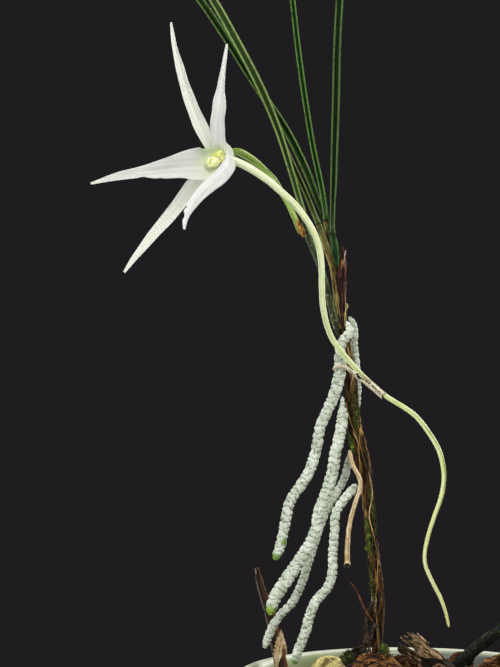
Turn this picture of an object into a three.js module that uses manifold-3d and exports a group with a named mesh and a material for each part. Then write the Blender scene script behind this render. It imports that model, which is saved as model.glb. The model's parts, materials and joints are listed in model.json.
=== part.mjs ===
// Potted Angraecum popowii: one orchid shoot in bloom, in a glazed pot filled with bark.
// Millimetres, +Z up. The origin is the middle of the pot's flat bottom.
// The flower faces left and towards -Y, the leaves fan up and left, the roots hang left.
import * as THREE from 'three';
import Module from 'manifold-3d';
import { mergeVertices } from 'three/addons/utils/BufferGeometryUtils.js';
import { ConvexGeometry } from 'three/addons/geometries/ConvexGeometry.js';

const wasm = await Module();
wasm.setup();

// Driving dimensions
const gap = 0.3;
const tidyTolerance = 0.02;
const bladeThickness = 0.65;
const pot = { height: 80, rimRadius: 45, baseRadius: 31, wall: 3, floor: 4.2, segments: 48 };
const drain = { count: 4, radius: 2.6, ring: 14, sides: 12 };
const bed = { top: 72, segments: 28, chips: 28, tolerance: 0.35, seed: 11 };
const stemFoot = 60;
const stemHole = { x: -8.4, radius: 1.35, sides: 12 };
const stemRidges = { sides: 12, depth: 0.07 };
const rootWrinkle = { pitch: 1.6, depth: 0.08 };
const leafFold = { depth: 1.7, keel: 0.25 };
const leafSteps = 30;

// Colours, roughness and metalness of each finish
const finish = (color, roughness) => new THREE.MeshStandardMaterial({ color, roughness, metalness: 0 });
const glaze = finish(0xdfe5dc, 0.25);
const bark = finish(0x5a3a22, 0.9);
const orangeBark = finish(0x9a5f33, 0.9);
const stoneGrey = finish(0xb7a98a, 0.8);
const mossyBark = finish(0x2f3620, 0.95);
const stemBrown = finish(0x5b432a, 0.85);
const leafGreen = finish(0x35612a, 0.5);
const olive = finish(0x6d7436, 0.6);
const tepalWhite = finish(0xf2f3ee, 0.55);
const lipWhite = finish(0xe4e8dc, 0.55);
const columnYellow = finish(0xdfe07a, 0.5);
const pedicelGreen = finish(0x7f9a3d, 0.5);
const velamen = finish(0xb9c2b4, 0.85);
const dryTan = finish(0xb59468, 0.85);
const dryBrown = finish(0x4d3524, 0.9);

const plant = new THREE.Group();
const shapes = {};

// Solids and meshes
function toSolid(geometry) {
  const bare = geometry.clone();
  bare.deleteAttribute('normal');
  bare.deleteAttribute('uv');
  const merged = mergeVertices(bare, 1e-4);
  const vertProperties = new Float32Array(merged.attributes.position.array);
  const triVerts = new Uint32Array(merged.index.array);
  return new wasm.Manifold(new wasm.Mesh({ numProp: 3, vertProperties, triVerts }));
}

function toGeometry(solid) {
  const mesh = solid.getMesh();
  const geometry = new THREE.BufferGeometry();
  geometry.setAttribute('position', new THREE.BufferAttribute(new Float32Array(mesh.vertProperties), 3));
  geometry.setIndex(new THREE.BufferAttribute(new Uint32Array(mesh.triVerts), 1));
  geometry.computeVertexNormals();
  return geometry;
}

// A cut can leave loose scraps, which are dropped
function largestBody(solid) {
  const bodies = solid.decompose();
  return bodies.reduce((best, body) => (body.volume() > best.volume() ? body : best));
}

// make(grow) gives the piece's solid with every face moved out by grow, so that the same
// function makes the piece and the room that its neighbours leave for it
function addPiece(name, material, make, neighbours = []) {
  let solid = make(0);
  for (const neighbour of neighbours) solid = solid.subtract(shapes[neighbour](gap));
  shapes[name] = make;
  const mesh = new THREE.Mesh(toGeometry(largestBody(solid.simplify(tidyTolerance))), material);
  mesh.name = name;
  plant.add(mesh);
}

function seededRandom(seed) {
  let state = seed;
  return () => {
    state = (state + 0x6d2b79f5) | 0;
    let mixed = Math.imul(state ^ (state >>> 15), 1 | state);
    mixed = (mixed + Math.imul(mixed ^ (mixed >>> 7), 61 | mixed)) ^ mixed;
    return ((mixed ^ (mixed >>> 14)) >>> 0) / 4294967296;
  };
}

// Straight-line reading of a short list of [place, value] stops
function valueAt(stops, t) {
  for (let i = 1; i < stops.length; i++) {
    const [before, low] = stops[i - 1];
    const [after, high] = stops[i];
    if (t <= after) return low + (high - low) * Math.max(0, (t - before) / (after - before));
  }
  return stops[stops.length - 1][1];
}

function routeOf(points) {
  const places = points.map(([x, y, z]) => new THREE.Vector3(x, y, z));
  return new THREE.CatmullRomCurve3(places, false, 'centripetal');
}

// Sections, counter-clockwise, as [sideways, towards the facing direction] pairs

function roundSection(radius, sides, bump = 0, turn = 0) {
  const ring = [];
  for (let i = 0; i < sides; i++) {
    const angle = turn + (2 * Math.PI * i) / sides;
    const reach = radius * (1 + (i % 2 ? -bump : bump));
    ring.push([reach * Math.cos(angle), reach * Math.sin(angle)]);
  }
  return ring;
}

// A thin blade whose edges stand cup towards the facing side, with a raised or sunk midline
function bladeSection(halfWidth, thickness, cup, spans, ridge = 0) {
  const ring = [];
  const middle = (u) => cup * (u / halfWidth) ** 2 + ridge * Math.exp(-((4 * u / halfWidth) ** 2));
  for (let i = 0; i <= spans; i++) {
    const u = halfWidth * (1 - (2 * i) / spans);
    ring.push([u, middle(u) + thickness / 2]);
  }
  for (let i = 0; i <= spans; i++) {
    const u = halfWidth * ((2 * i) / spans - 1);
    ring.push([u, middle(u) - thickness / 2]);
  }
  return ring;
}

// A leaf folded along its keel, open towards the facing side
function foldSection(halfWidth, depth, thickness, grow) {
  const wide = halfWidth + grow;
  const deep = depth + 1.6 * grow;
  const slope = Math.hypot(halfWidth, depth);
  const rim = (thickness * slope) / depth;
  const inner = Math.max(0.05, halfWidth - rim - grow);
  const bottom = -Math.max(0.05, (inner / halfWidth) * depth);
  return [
    [inner, grow], [0, bottom + grow], [-inner, grow],
    [-wide, grow], [-leafFold.keel, -deep], [leafFold.keel, -deep], [wide, grow],
  ];
}

// A closed solid that carries a section along a route. section(t, grow) gives as many points
// at every place. facing is the direction that the section's second axis is nearest to.
function sweep({ route, steps, section, facing = [0, -1, 0], grow = 0 }) {
  const towards = new THREE.Vector3(...facing);
  const places = Array.from({ length: steps + 1 }, (_, i) => i / steps);
  const positions = [];
  let sides = 0;
  let rings = 0;
  const caps = [];
  const addRing = (t, shift) => {
    const tangent = route.getTangentAt(t);
    const side = new THREE.Vector3().crossVectors(towards, tangent).normalize();
    const up = new THREE.Vector3().crossVectors(tangent, side);
    const centre = route.getPointAt(t).addScaledVector(tangent, shift);
    const ring = section(t, grow);
    sides = ring.length;
    rings += 1;
    for (const [u, v] of ring) {
      const corner = centre.clone().addScaledVector(side, u).addScaledVector(up, v);
      positions.push(corner.x, corner.y, corner.z);
    }
    return ring;
  };
  caps.push(addRing(0, -grow));
  for (const t of places.slice(1, -1)) addRing(t, 0);
  caps.push(addRing(1, grow));

  const index = [];
  for (let i = 0; i < rings - 1; i++) {
    for (let j = 0; j < sides; j++) {
      const a = i * sides + j;
      const b = i * sides + ((j + 1) % sides);
      index.push(a, b, b + sides, a, b + sides, a + sides);
    }
  }
  caps.forEach((ring, atEnd) => {
    const start = atEnd ? (rings - 1) * sides : 0;
    const outline = ring.map(([u, v]) => new THREE.Vector2(u, v));
    for (const [a, b, c] of THREE.ShapeUtils.triangulateShape(outline, [])) {
      const turn = new THREE.Vector2().subVectors(outline[b], outline[a])
        .cross(new THREE.Vector2().subVectors(outline[c], outline[a]));
      const outward = atEnd ? turn > 0 : turn < 0;
      index.push(start + a, start + (outward ? b : c), start + (outward ? c : b));
    }
  });
  const geometry = new THREE.BufferGeometry();
  geometry.setAttribute('position', new THREE.Float32BufferAttribute(positions, 3));
  geometry.setIndex(index);
  return toSolid(geometry);
}

function lathe(profile, segments) {
  const outline = profile.map(([r, z]) => new THREE.Vector2(r, z));
  const geometry = new THREE.LatheGeometry(outline, segments);
  geometry.rotateX(Math.PI / 2);
  return toSolid(geometry);
}

// An angular lump: the hull of its corner points, pushed out from its middle by grow
function lump(corners, grow) {
  const points = corners.map(([x, y, z]) => new THREE.Vector3(x, y, z));
  const middle = points.reduce((sum, p) => sum.add(p), new THREE.Vector3()).divideScalar(points.length);
  const pushed = points.map((p) => {
    const arm = p.clone().sub(middle);
    return middle.clone().addScaledVector(arm, 1 + (1.6 * grow) / arm.length());
  });
  return toSolid(new ConvexGeometry(pushed));
}

// The pot and what fills it

function potSolid() {
  const { height, rimRadius, baseRadius, wall, floor } = pot;
  const lip = 1.2;
  const inside = rimRadius - wall;
  const solid = lathe([
    [0, 0], [baseRadius - lip, 0], [baseRadius, lip], [rimRadius - lip, height - 6],
    [rimRadius, height - 4], [rimRadius, height - 1.4], [rimRadius - 0.5, height - 0.4],
    [rimRadius - 1.5, height], [inside + 0.6, height - 0.4], [inside, height - 1.4],
    [inside - 0.6, height - 6], [baseRadius - wall + 1, floor + 3], [baseRadius - wall - 1.5, floor],
    [0, floor],
  ], pot.segments);
  const holes = [];
  for (let i = 0; i < drain.count; i++) {
    const angle = (2 * Math.PI * (i + 0.5)) / drain.count;
    const hole = new THREE.CylinderGeometry(drain.radius, drain.radius, 3 * floor, drain.sides);
    hole.rotateX(Math.PI / 2);
    hole.translate(drain.ring * Math.cos(angle), drain.ring * Math.sin(angle), 0);
    holes.push(toSolid(hole));
  }
  return holes.reduce((left, hole) => left.subtract(hole), solid);
}

// One chip of bark: a slab with jittered corners, turned and tipped
function barkChip(random, length, width, height) {
  const corners = [];
  for (const x of [-0.5, 0.5]) {
    for (const y of [-0.5, 0.5]) {
      for (const z of [-0.5, 0.5]) {
        const jitter = () => 0.3 * (random() - 0.5);
        corners.push(new THREE.Vector3((x + jitter()) * length, (y + jitter()) * width, (z + jitter()) * height));
      }
    }
  }
  return new ConvexGeometry(corners);
}

// The bed's top is covered by chips set on a spiral, heaped a little in front of the middle
function bedSolid() {
  const random = seededRandom(bed.seed);
  const inside = pot.rimRadius - pot.wall;
  const taper = (inside - pot.baseRadius + pot.wall) / pot.height;
  const radiusAt = (z) => inside - 1.6 - taper * (pot.height - 4 - z);
  let solid = lathe([
    [0, pot.floor + gap], [radiusAt(8) - 3, pot.floor + gap], [radiusAt(8), 8],
    [radiusAt(bed.top - 3), bed.top - 3], [radiusAt(bed.top) - 2, bed.top], [0, bed.top + 1],
  ], bed.segments);
  const golden = Math.PI * (3 - Math.sqrt(5));
  for (let i = 0; i < bed.chips; i++) {
    const reach = (radiusAt(bed.top) - 5.5) * Math.sqrt((i + 0.5) / bed.chips);
    const angle = i * golden;
    const x = reach * Math.cos(angle);
    const y = reach * Math.sin(angle);
    const heap = 3.2 * Math.exp(-((x - 6) ** 2 + (y + 8) ** 2) / 500);
    const chip = barkChip(random, 10 + 5 * random(), 7 + 3 * random(), 3.6 + 2 * random());
    chip.rotateX(0.7 * (random() - 0.5));
    chip.rotateY(0.7 * (random() - 0.5));
    chip.rotateZ(2 * Math.PI * random());
    chip.translate(x, y, bed.top + 0.3 + heap + 0.8 * random());
    solid = solid.add(toSolid(chip));
  }
  const bowl = lathe([
    [0, 1], [radiusAt(1), 1], [radiusAt(pot.height + 14), pot.height + 14], [0, pot.height + 14],
  ], bed.segments);
  return solid.intersect(bowl).simplify(bed.tolerance);
}

// The stem, with old leaf sheaths overlapping down its length and torn root stubs at its foot

const stemRoute = routeOf([
  [-8.4, 0, stemFoot], [-8.4, 0, 84], [-8.2, 0, 98.8], [-9.2, 0, 109], [-10.5, 0, 121.8], [-11.7, 0, 132],
  [-13, 0, 137.1], [-14, 0, 142.2], [-14.8, 0, 147.3], [-15.3, 0, 155], [-16.6, 0, 163.9],
  [-17.6, 0, 170.2], [-17.8, 0, 180.4], [-17.2, 0, 189.3],
]);
const stemRadius = [
  [0, 1.2], [0.18, 1.2], [0.3, 1.5], [0.42, 1.35], [0.53, 1.5], [0.55, 1.85], [0.62, 1.95],
  [0.66, 1.8], [0.68, 1.65], [0.76, 1.55], [0.82, 1.2], [0.87, 1.2], [0.88, 1.45], [0.96, 1.35], [1, 0.25],
];
const oldRootStubs = [
  [[-8.8, -0.6, 99], [-10.8, -1.6, 95.5], [-11.6, -2, 90.5], [-12.5, -2.4, 84.5]],
  [[-8.7, 0.2, 97], [-10.6, 0.6, 93.5], [-11.1, 0.9, 88.5], [-11.8, 1.1, 83]],
  [[-8.4, -0.8, 92], [-9.6, -2.4, 89], [-10, -3.1, 85], [-10.2, -3.7, 81.5]],
];

function stemSolid(grow) {
  const { sides, depth } = stemRidges;
  const ribs = (t, g) => roundSection(valueAt(stemRadius, t) + g, sides, depth, 2.2 * t);
  const stubs = (t, g) => roundSection(0.55 - 0.2 * t + g, 6);
  let solid = sweep({ route: stemRoute, steps: 44, section: ribs, grow });
  for (const points of oldRootStubs) {
    solid = solid.add(sweep({ route: routeOf(points), steps: 6, section: stubs, grow }));
  }
  return solid;
}

// The plain hole in the bed that the stem stands in
function stemHoleSolid(grow) {
  const { x, radius, sides } = stemHole;
  const hole = new THREE.CylinderGeometry(radius + grow, radius + grow, pot.height, sides);
  hole.rotateX(Math.PI / 2);
  hole.translate(x, 0, stemFoot - grow + pot.height / 2);
  return toSolid(hole);
}
shapes.stem_hole = stemHoleSolid;

// Leaves: a sheath that clasps the stem, a joint, and a long folded blade

const leaves = {
  leaf_upright: {
    points: [
      [-18.5, -2.1, 183.5], [-19.1, -2.1, 186.8], [-19.3, -2, 189.3], [-19.8, -1.8, 192], [-19.8, -1.5, 197.2],
      [-19.7, -1.3, 201], [-19.5, -1.1, 206], [-19.3, -1, 213.5], [-18.9, -1, 227], [-18.6, -1, 240],
      [-17.9, -1.2, 253], [-16.6, -1.8, 268], [-14.6, -2.8, 281], [-12.4, -4, 291],
    ],
    width: [[0, 0.8], [0.04, 1], [0.08, 0.75], [0.12, 0.62], [0.2, 0.85], [0.35, 1], [0.7, 0.95], [0.9, 0.7], [1, 0.45]],
    joint: 0.08,
  },
  leaf_inner_left: {
    points: [
      [-19.7, 1.4, 185], [-20.1, 1.2, 187.6], [-20.5, 1, 190.7], [-21, 0.9, 193.2], [-21.4, 0.9, 196], [-22, 1, 201],
      [-22.8, 1.2, 205.5], [-24.6, 1.6, 214], [-26.8, 2.4, 227.5], [-28.5, 2.8, 240], [-29.9, 3, 252.5],
      [-31.6, 3, 266], [-33.6, 2.8, 278], [-35.8, 2.4, 287],
    ],
    width: [[0, 0.55], [0.06, 0.75], [0.105, 0.72], [0.13, 0.68], [0.2, 0.72], [0.5, 0.75], [0.9, 0.6], [1, 0.45]],
    joint: 0.105,
  },
  leaf_front_left: {
    points: [
      [-18.6, -2.3, 166.2], [-19, -2.2, 168.7], [-19.6, -1.9, 171.2], [-20.3, -1.6, 174], [-21, -1.4, 176.6],
      [-21.6, -1.2, 179.4], [-22.5, -1, 182.5], [-24.6, -1, 188.1], [-26.1, -1, 191.6], [-27.4, -1, 198.2],
      [-28.6, -1, 202.1], [-30.4, -1, 208.4], [-33.4, -1, 218], [-36.6, -1.2, 226], [-39.4, -1.6, 232],
      [-44.4, -2, 241.4], [-49.8, -2, 251], [-56.5, -2.5, 261], [-64, -3, 269], [-71.5, -3.5, 274.5], [-78, -4, 276.5],
    ],
    width: [[0, 0.6], [0.03, 1], [0.08, 0.9], [0.2, 0.9], [0.25, 0.72], [0.36, 0.82], [0.5, 1.05], [0.75, 1.05],
      [0.92, 0.75], [1, 0.45]],
    joint: 0.25,
  },
  leaf_middle_left: {
    points: [
      [-19.6, -1.3, 179.2], [-19.8, -1.1, 183.8], [-20.7, -0.7, 186.6], [-21.6, -0.5, 189.4], [-22.4, -0.1, 192],
      [-23.1, 0.7, 194.3], [-24.5, 1.3, 197.6], [-26.3, 1.6, 202.2], [-28.6, 1.7, 207.3], [-30.8, 1.8, 212],
      [-33.2, 1.8, 217.5], [-36.4, 1.7, 226.6], [-41.2, 1.5, 236.3], [-47, 1.3, 246.4], [-52.3, 1.2, 255.5],
      [-57, 1.6, 264], [-60.4, 2.2, 272],
    ],
    width: [[0, 0.5], [0.04, 0.8], [0.1, 0.95], [0.16, 0.7], [0.22, 0.68], [0.4, 0.75], [0.85, 0.75], [1, 0.45]],
    joint: 0.16,
  },
  leaf_back_left: {
    points: [
      [-18.7, 2.3, 181], [-19.6, 2.9, 187], [-20.9, 3.4, 193.5], [-22.2, 3.8, 198.3], [-23.9, 4, 202.4],
      [-26.4, 4.1, 208.8], [-31.5, 4.2, 219], [-37.6, 4.2, 228.2], [-42.4, 4, 235.6], [-47.6, 3.8, 243.8],
      [-53.4, 3.4, 252.2], [-60, 2.6, 260], [-67, 1.8, 266], [-73.5, 1.2, 269.5], [-78.5, 1, 270],
    ],
    width: [[0, 0.5], [0.06, 0.75], [0.15, 0.7], [0.25, 1.05], [0.4, 1.05], [0.75, 0.95], [0.92, 0.7], [1, 0.45]],
    joint: 0.15,
  },
};

// Up to the joint the section is flattened, and after it the fold opens over some millimetres
function leafSolid({ points, width, joint }, grow) {
  const fold = [[0, 0.8], [joint, 0.85], [joint + 0.12, leafFold.depth], [0.85, 1.5], [1, 0.9]];
  const section = (t, g) => foldSection(valueAt(width, t), valueAt(fold, t), bladeThickness, g);
  return sweep({ route: routeOf(points), steps: leafSteps, section, grow });
}

// The flower

const ovaryRoute = routeOf([
  [-48.2, -6.6, 211.2], [-46.6, -4.8, 211.9], [-44.2, -3, 212.9], [-41.8, -1, 212.1], [-39, 0.5, 210.2],
  [-36.7, 1, 208.1], [-34.9, 1, 206.3], [-33.4, 0.5, 203.9], [-32, 0, 201.6], [-30.5, -0.7, 198.8],
  [-29, -1.9, 195.2], [-27.9, -2.8, 192],
]);
const ovaryRadius = [
  [0, 0.9], [0.05, 1.25], [0.1, 1.15], [0.16, 0.95], [0.4, 0.9], [0.7, 0.78], [0.95, 0.75], [1, 0.6],
];

function ovarySolid(grow) {
  const section = (t, g) => roundSection(valueAt(ovaryRadius, t) + g, 8, 0.07);
  return sweep({ route: ovaryRoute, steps: 30, section, grow });
}

function bractSolid(grow) {
  const route = routeOf([[-26.8, -4, 191.2], [-28, -4.35, 193.4], [-29, -4.1, 195.6]]);
  const width = [[0, 0.95], [0.5, 0.85], [1, 0.4]];
  const section = (t, g) => bladeSection(valueAt(width, t) + g, bladeThickness + 2 * g, -0.25, 4);
  return sweep({ route, steps: 5, section, grow });
}

// Sepals, petals and lip: half widths are read along each blade from base to tip
const tepals = {
  sepal_upper: {
    points: [
      [-47.6, -6.2, 211.8], [-49.6, -7.2, 213.2], [-52.4, -9, 217.8], [-54.8, -10.5, 223.1],
      [-56.8, -12, 228.7], [-58.2, -13, 233.6], [-59.4, -13.6, 238.2], [-60.3, -14, 244],
    ],
    half: [[0, 1.1], [0.12, 1.9], [0.3, 1.85], [0.5, 1.45], [0.66, 1.15], [0.8, 0.75], [0.93, 0.45], [1, 0.32]],
    facing: [-0.48, -0.87, -0.08], cup: 0.45, steps: 14,
  },
  sepal_lower: {
    points: [
      [-48, -5.6, 210.6], [-50, -5.2, 209.2], [-53, -4.9, 207], [-57.5, -4, 201], [-61.3, -3, 196.3],
      [-65.1, -2, 192.1], [-68.2, -1, 188.4], [-70.7, 0, 185.4], [-72.9, 1, 182.4],
    ],
    half: [[0, 1.1], [0.15, 1.9], [0.35, 1.85], [0.52, 1.6], [0.68, 1.3], [0.82, 0.9], [0.92, 0.62], [1, 0.35]],
    facing: [-0.3, -0.92, 0.05], cup: 0.45, steps: 14,
  },
  sepal_back: {
    points: [
      [-46.4, -5.2, 212.4], [-45.5, -4.2, 214.2], [-45.2, -1.5, 215.4], [-45.4, 4, 216.2], [-45.6, 12, 216.9],
      [-45.7, 20, 217.3], [-45.8, 27, 217.2],
    ],
    half: [[0, 1.1], [0.15, 1.9], [0.4, 1.8], [0.6, 1.4], [0.8, 0.85], [1, 0.35]],
    facing: [0.25, 0.1, 1], cup: -0.4, steps: 13,
  },
  petal_upper: {
    points: [
      [-48.1, -7.4, 212.4], [-48.5, -9.4, 215.4], [-48.6, -12, 219.5], [-48.2, -14, 222.8], [-48, -15, 225.4],
      [-47.6, -16.5, 229.4], [-47.2, -17.3, 232.2], [-46.8, -18, 235], [-46.4, -18.5, 238],
    ],
    half: [[0, 1.2], [0.13, 2.05], [0.3, 1.85], [0.42, 1.8], [0.52, 1.6], [0.62, 0.95], [0.75, 0.65], [0.9, 0.45],
      [1, 0.32]],
    facing: [-0.38, -0.92, -0.1], cup: 0.5, steps: 16,
  },
  petal_lower: {
    points: [
      [-46.1, -7.4, 211.6], [-46.1, -11, 208.9], [-48, -15, 205.9], [-50.5, -19, 203.5], [-52.6, -22, 201.2],
      [-54.8, -25, 198.2], [-55.9, -27, 196.2], [-56.4, -28.4, 194.4], [-56.6, -30, 191.9],
    ],
    half: [[0, 1.1], [0.15, 1.75], [0.4, 1.85], [0.55, 1.5], [0.7, 1.15], [0.82, 0.95], [0.9, 0.65], [1, 0.35]],
    facing: [0.35, -0.72, 0.55], cup: 0.35, steps: 14,
  },
};

function tepalSolid({ points, half, facing, cup, steps }, grow) {
  const section = (t, g) => {
    const wide = valueAt(half, t);
    const bend = cup * Math.min(1, wide / 1.4);
    return bladeSection(wide + g, bladeThickness + 2 * g, bend, 4);
  };
  return sweep({ route: routeOf(points), steps, section, facing, grow });
}

// The lip is a boat-shaped blade, and the nectar spur grows back and down from its base
const lipRoute = routeOf([
  [-47.4, -7.6, 210.3], [-49.6, -8.3, 210], [-52, -9, 209], [-53.8, -9.6, 208.7], [-57, -10.5, 208.5],
  [-62, -12, 207.6], [-66.4, -13, 206.9], [-70.6, -13.7, 206.3], [-74.6, -14, 205.5], [-80.3, -14, 204],
]);
const lipHalf = [
  [0, 2], [0.08, 3.4], [0.18, 4.3], [0.26, 3.95], [0.38, 3], [0.46, 2.5], [0.56, 1.85], [0.68, 1.3],
  [0.84, 0.8], [0.94, 0.5], [1, 0.32],
];
const lipCup = [[0, 1.6], [0.2, 1.7], [0.4, 1.1], [0.6, 0.6], [1, 0.1]];
const spurRoute = routeOf([
  [-48.6, -7.4, 210.6], [-46.4, -7.2, 210.7], [-44.1, -7, 210], [-41.7, -7.1, 208.9], [-39.4, -7.3, 207.5],
  [-36, -7.5, 205.1], [-32.9, -7.6, 202.4], [-29.5, -7.6, 199.2], [-26.9, -7.6, 195.8], [-24.6, -7.5, 191.8],
  [-23.3, -7.4, 187.7], [-22.8, -7.2, 183.5], [-22.7, -7, 178.2], [-22.4, -6.8, 173.6], [-21.4, -6.4, 168.8],
  [-19.9, -6.2, 165.2], [-17.2, -6.2, 161.5], [-14.9, -6.3, 158.8], [-12.8, -6.3, 156.5], [-10.3, -6.3, 154.2],
  [-8.6, -6.3, 152.7], [-6.5, -6.4, 151], [-4, -6.8, 149.4], [-1.7, -7, 148], [1.1, -7.4, 145.8],
  [4.2, -7.8, 141.8], [6.6, -8, 137.6], [7.7, -8, 133.5], [7.9, -8, 129.8], [7.2, -8, 125.7], [5.6, -8, 121.1],
  [4, -8, 116.1], [3.1, -8, 111.5], [3.3, -7.8, 108.5], [5.2, -7.5, 104], [7.1, -7, 100.3], [8.5, -6.5, 96.5],
  [9.4, -6, 92.6],
]);
const spurRadius = [
  [0, 1.35], [0.03, 1.2], [0.15, 1], [0.3, 0.85], [0.42, 0.75], [0.52, 0.65], [0.7, 0.7], [0.95, 0.6], [1, 0.38],
];

function lipSolid(grow) {
  const bladeOf = (t, g) => {
    const ridge = -0.4 * Math.max(0, 1 - 1.6 * t);
    return bladeSection(valueAt(lipHalf, t) + g, bladeThickness + 2 * g, valueAt(lipCup, t), 8, ridge);
  };
  const tubeOf = (t, g) => roundSection(valueAt(spurRadius, t) + g, 8);
  const blade = sweep({ route: lipRoute, steps: 15, section: bladeOf, facing: [0.05, -0.95, 0.22], grow });
  return blade.add(sweep({ route: spurRoute, steps: 54, section: tubeOf, grow }));
}

const columnRoute = routeOf([[-47.7, -6.9, 212.6], [-48.5, -8.2, 211.6], [-49.3, -9.6, 210.4]]);
const capRoute = routeOf([[-49.35, -9.75, 210.25], [-49.8, -10.6, 209.5], [-50.2, -11.3, 208.9]]);

function columnSolid(grow) {
  const radius = [[0, 0.9], [0.3, 1.25], [0.8, 1.45], [1, 1.3]];
  const section = (t, g) => roundSection(valueAt(radius, t) + g, 12);
  const body = sweep({ route: columnRoute, steps: 6, section, grow });
  const arms = [-1.15, 1.15].map((side) => {
    const route = routeOf([[-48.6 + side, -8.6, 211.2], [-49.2 + 1.2 * side, -10, 210.2], [-49.7 + side, -11, 209.4]]);
    return sweep({ route, steps: 4, section: (t, g) => roundSection(0.55 - 0.2 * t + g, 6), grow });
  });
  return arms.reduce((joined, arm) => joined.add(arm), body);
}

function capSolid(grow) {
  const radius = [[0, 1.3], [0.35, 1.5], [0.7, 1.25], [1, 0.5]];
  const section = (t, g) => roundSection(valueAt(radius, t) + g, 12);
  return sweep({ route: capRoute, steps: 5, section, grow });
}

// Roots: thick grey tubes with cross wrinkles and a bare tip, which start on the stem

const roots = {
  root_front: {
    points: [
      [-16.3, -1.5, 170], [-15.5, -2.4, 167.6], [-16.1, -2.9, 166.2], [-17.2, -3.1, 165], [-17.9, -3.2, 163],
      [-18, -3.2, 160.8], [-18, -3.3, 156.8], [-19.1, -3.6, 152.3], [-21.2, -4.2, 147.3], [-23.1, -4.9, 143],
      [-24, -5.5, 137.9], [-25.8, -6.2, 132.2], [-28, -6.9, 128.6], [-30.7, -7.6, 124.6], [-32, -8.2, 119],
      [-33.1, -8.8, 114], [-34.6, -9.4, 110],
    ],
    radius: [[0, 0.45], [0.03, 0.85], [0.07, 1.2], [0.12, 1.2], [0.2, 1.45], [0.3, 1.4], [0.4, 1.3], [0.96, 1.25],
      [1, 0.6]],
  },
  root_clasping: {
    points: [
      [-15.6, 0.9, 171.2], [-14.5, 1, 169.6], [-14, 1.1, 167], [-14.1, 1.4, 163.9], [-13.7, 1.9, 160],
      [-13.3, 2.2, 155.5], [-13.1, 2.4, 152.9], [-13.3, 2.7, 149.8], [-13.6, 3, 146],
    ],
    radius: [[0, 0.4], [0.1, 0.8], [0.5, 0.9], [0.95, 0.85], [1, 0.5]],
  },
  root_middle: {
    points: [
      [-17.3, -1.9, 151], [-17.3, -2.6, 148], [-17.4, -3.3, 145], [-18.1, -3.7, 140.9], [-19.2, -4, 136.5], [-19.8, -4, 132.1],
      [-21.7, -4.2, 125.8], [-23.3, -4.5, 121.7], [-23.9, -4.8, 117.7], [-25.6, -5, 113.6], [-29.3, -5.5, 108],
      [-33.1, -6, 102.5], [-34.8, -6.2, 99.5], [-35.9, -6.5, 95.8],
    ],
    radius: [[0, 0.4], [0.04, 0.6], [0.08, 1.35], [0.3, 1.42], [0.7, 1.5], [0.9, 1.6], [0.97, 1.3], [1, 0.6]],
  },
  root_back: {
    points: [
      [-14.9, 1.8, 136.5], [-15.8, 2.4, 132.6], [-16.9, 3, 129], [-19, 3.5, 125.1], [-20.8, 3.5, 122],
      [-22.3, 3.5, 118.4], [-23.9, 3.5, 113.8], [-25.7, 3.5, 108.1], [-27.7, 3.5, 102.2], [-30, 4, 97.6],
      [-32.8, 4, 94.6], [-34.9, 4, 91.6], [-36.2, 4, 88.5], [-37.1, 4, 85.8],
    ],
    radius: [[0, 0.7], [0.06, 0.95], [0.3, 0.9], [0.6, 1], [0.95, 1.05], [1, 0.5]],
  },
  root_long: {
    points: [
      [-13.3, -1.3, 128.4], [-15.2, -2.4, 126.6], [-17.7, -3.4, 123.7], [-19.1, -4, 121.2], [-19.4, -4.5, 116.7],
      [-19.9, -5, 111.6], [-20, -6, 106.7], [-21.4, -7, 102.6], [-24.2, -8, 99.6], [-25.9, -9, 95.8],
      [-27, -10, 91.9], [-28.9, -11, 87.3], [-29.9, -11.5, 84.2],
    ],
    radius: [[0, 0.8], [0.05, 1.1], [0.4, 1.1], [0.7, 1.2], [0.95, 1.15], [1, 0.5]],
  },
};

function rootSolid({ points, radius }, grow) {
  const route = routeOf(points);
  const length = route.getLength();
  const steps = Math.round(length / rootWrinkle.pitch);
  const section = (t, g) => {
    const wrinkle = Math.round(t * steps) % 2 ? rootWrinkle.depth : 0;
    return roundSection(valueAt(radius, t) * (1 - wrinkle) + g, 8);
  };
  return sweep({ route, steps, section, grow });
}

// Dead roots are dry hollow tubes, open at the free end
const deadRoots = {
  dead_root_hanging: {
    points: [
      [-15.5, -1.5, 137], [-14.6, -2.8, 133.4], [-13.1, -3.5, 130.3], [-12.8, -3.8, 127.7], [-13.9, -4.1, 124.7],
      [-15.3, -4.4, 119.9], [-16.1, -5, 114.2], [-16.3, -5.8, 107.7],
    ],
    radius: [[0, 0.5], [0.3, 0.7], [0.9, 0.72], [1, 0.95]], steps: 16,
  },
  dead_root_crossing: {
    points: [
      [-19.5, -5.4, 158.1], [-18.2, -5.5, 158.5], [-16.8, -5.6, 158.4], [-15.6, -5.9, 157.6], [-14.7, -6.2, 156.9],
      [-13.7, -6.7, 156.4], [-12.7, -6.8, 155.9], [-10.4, -6.8, 153.9], [-8.7, -6.8, 152.4], [-6.8, -6.9, 150.9],
    ],
    radius: [[0, 0.5], [0.36, 0.55], [0.46, 1.05], [0.95, 1.1], [1, 1.15]], steps: 12,
  },
};
const deadRootBore = { radius: 0.4, depth: 3 };

function deadRootSolid({ points, radius, steps }, grow) {
  const route = routeOf(points);
  const solid = sweep({ route, steps, section: (t, g) => roundSection(valueAt(radius, t) + g, 8), grow });
  if (grow) return solid;
  const end = route.getPointAt(1);
  const tangent = route.getTangentAt(1);
  const bore = new THREE.LineCurve3(
    end.clone().addScaledVector(tangent, -deadRootBore.depth), end.clone().addScaledVector(tangent, 1));
  return solid.subtract(sweep({ route: bore, steps: 1, section: () => roundSection(deadRootBore.radius, 6) }));
}

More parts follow.
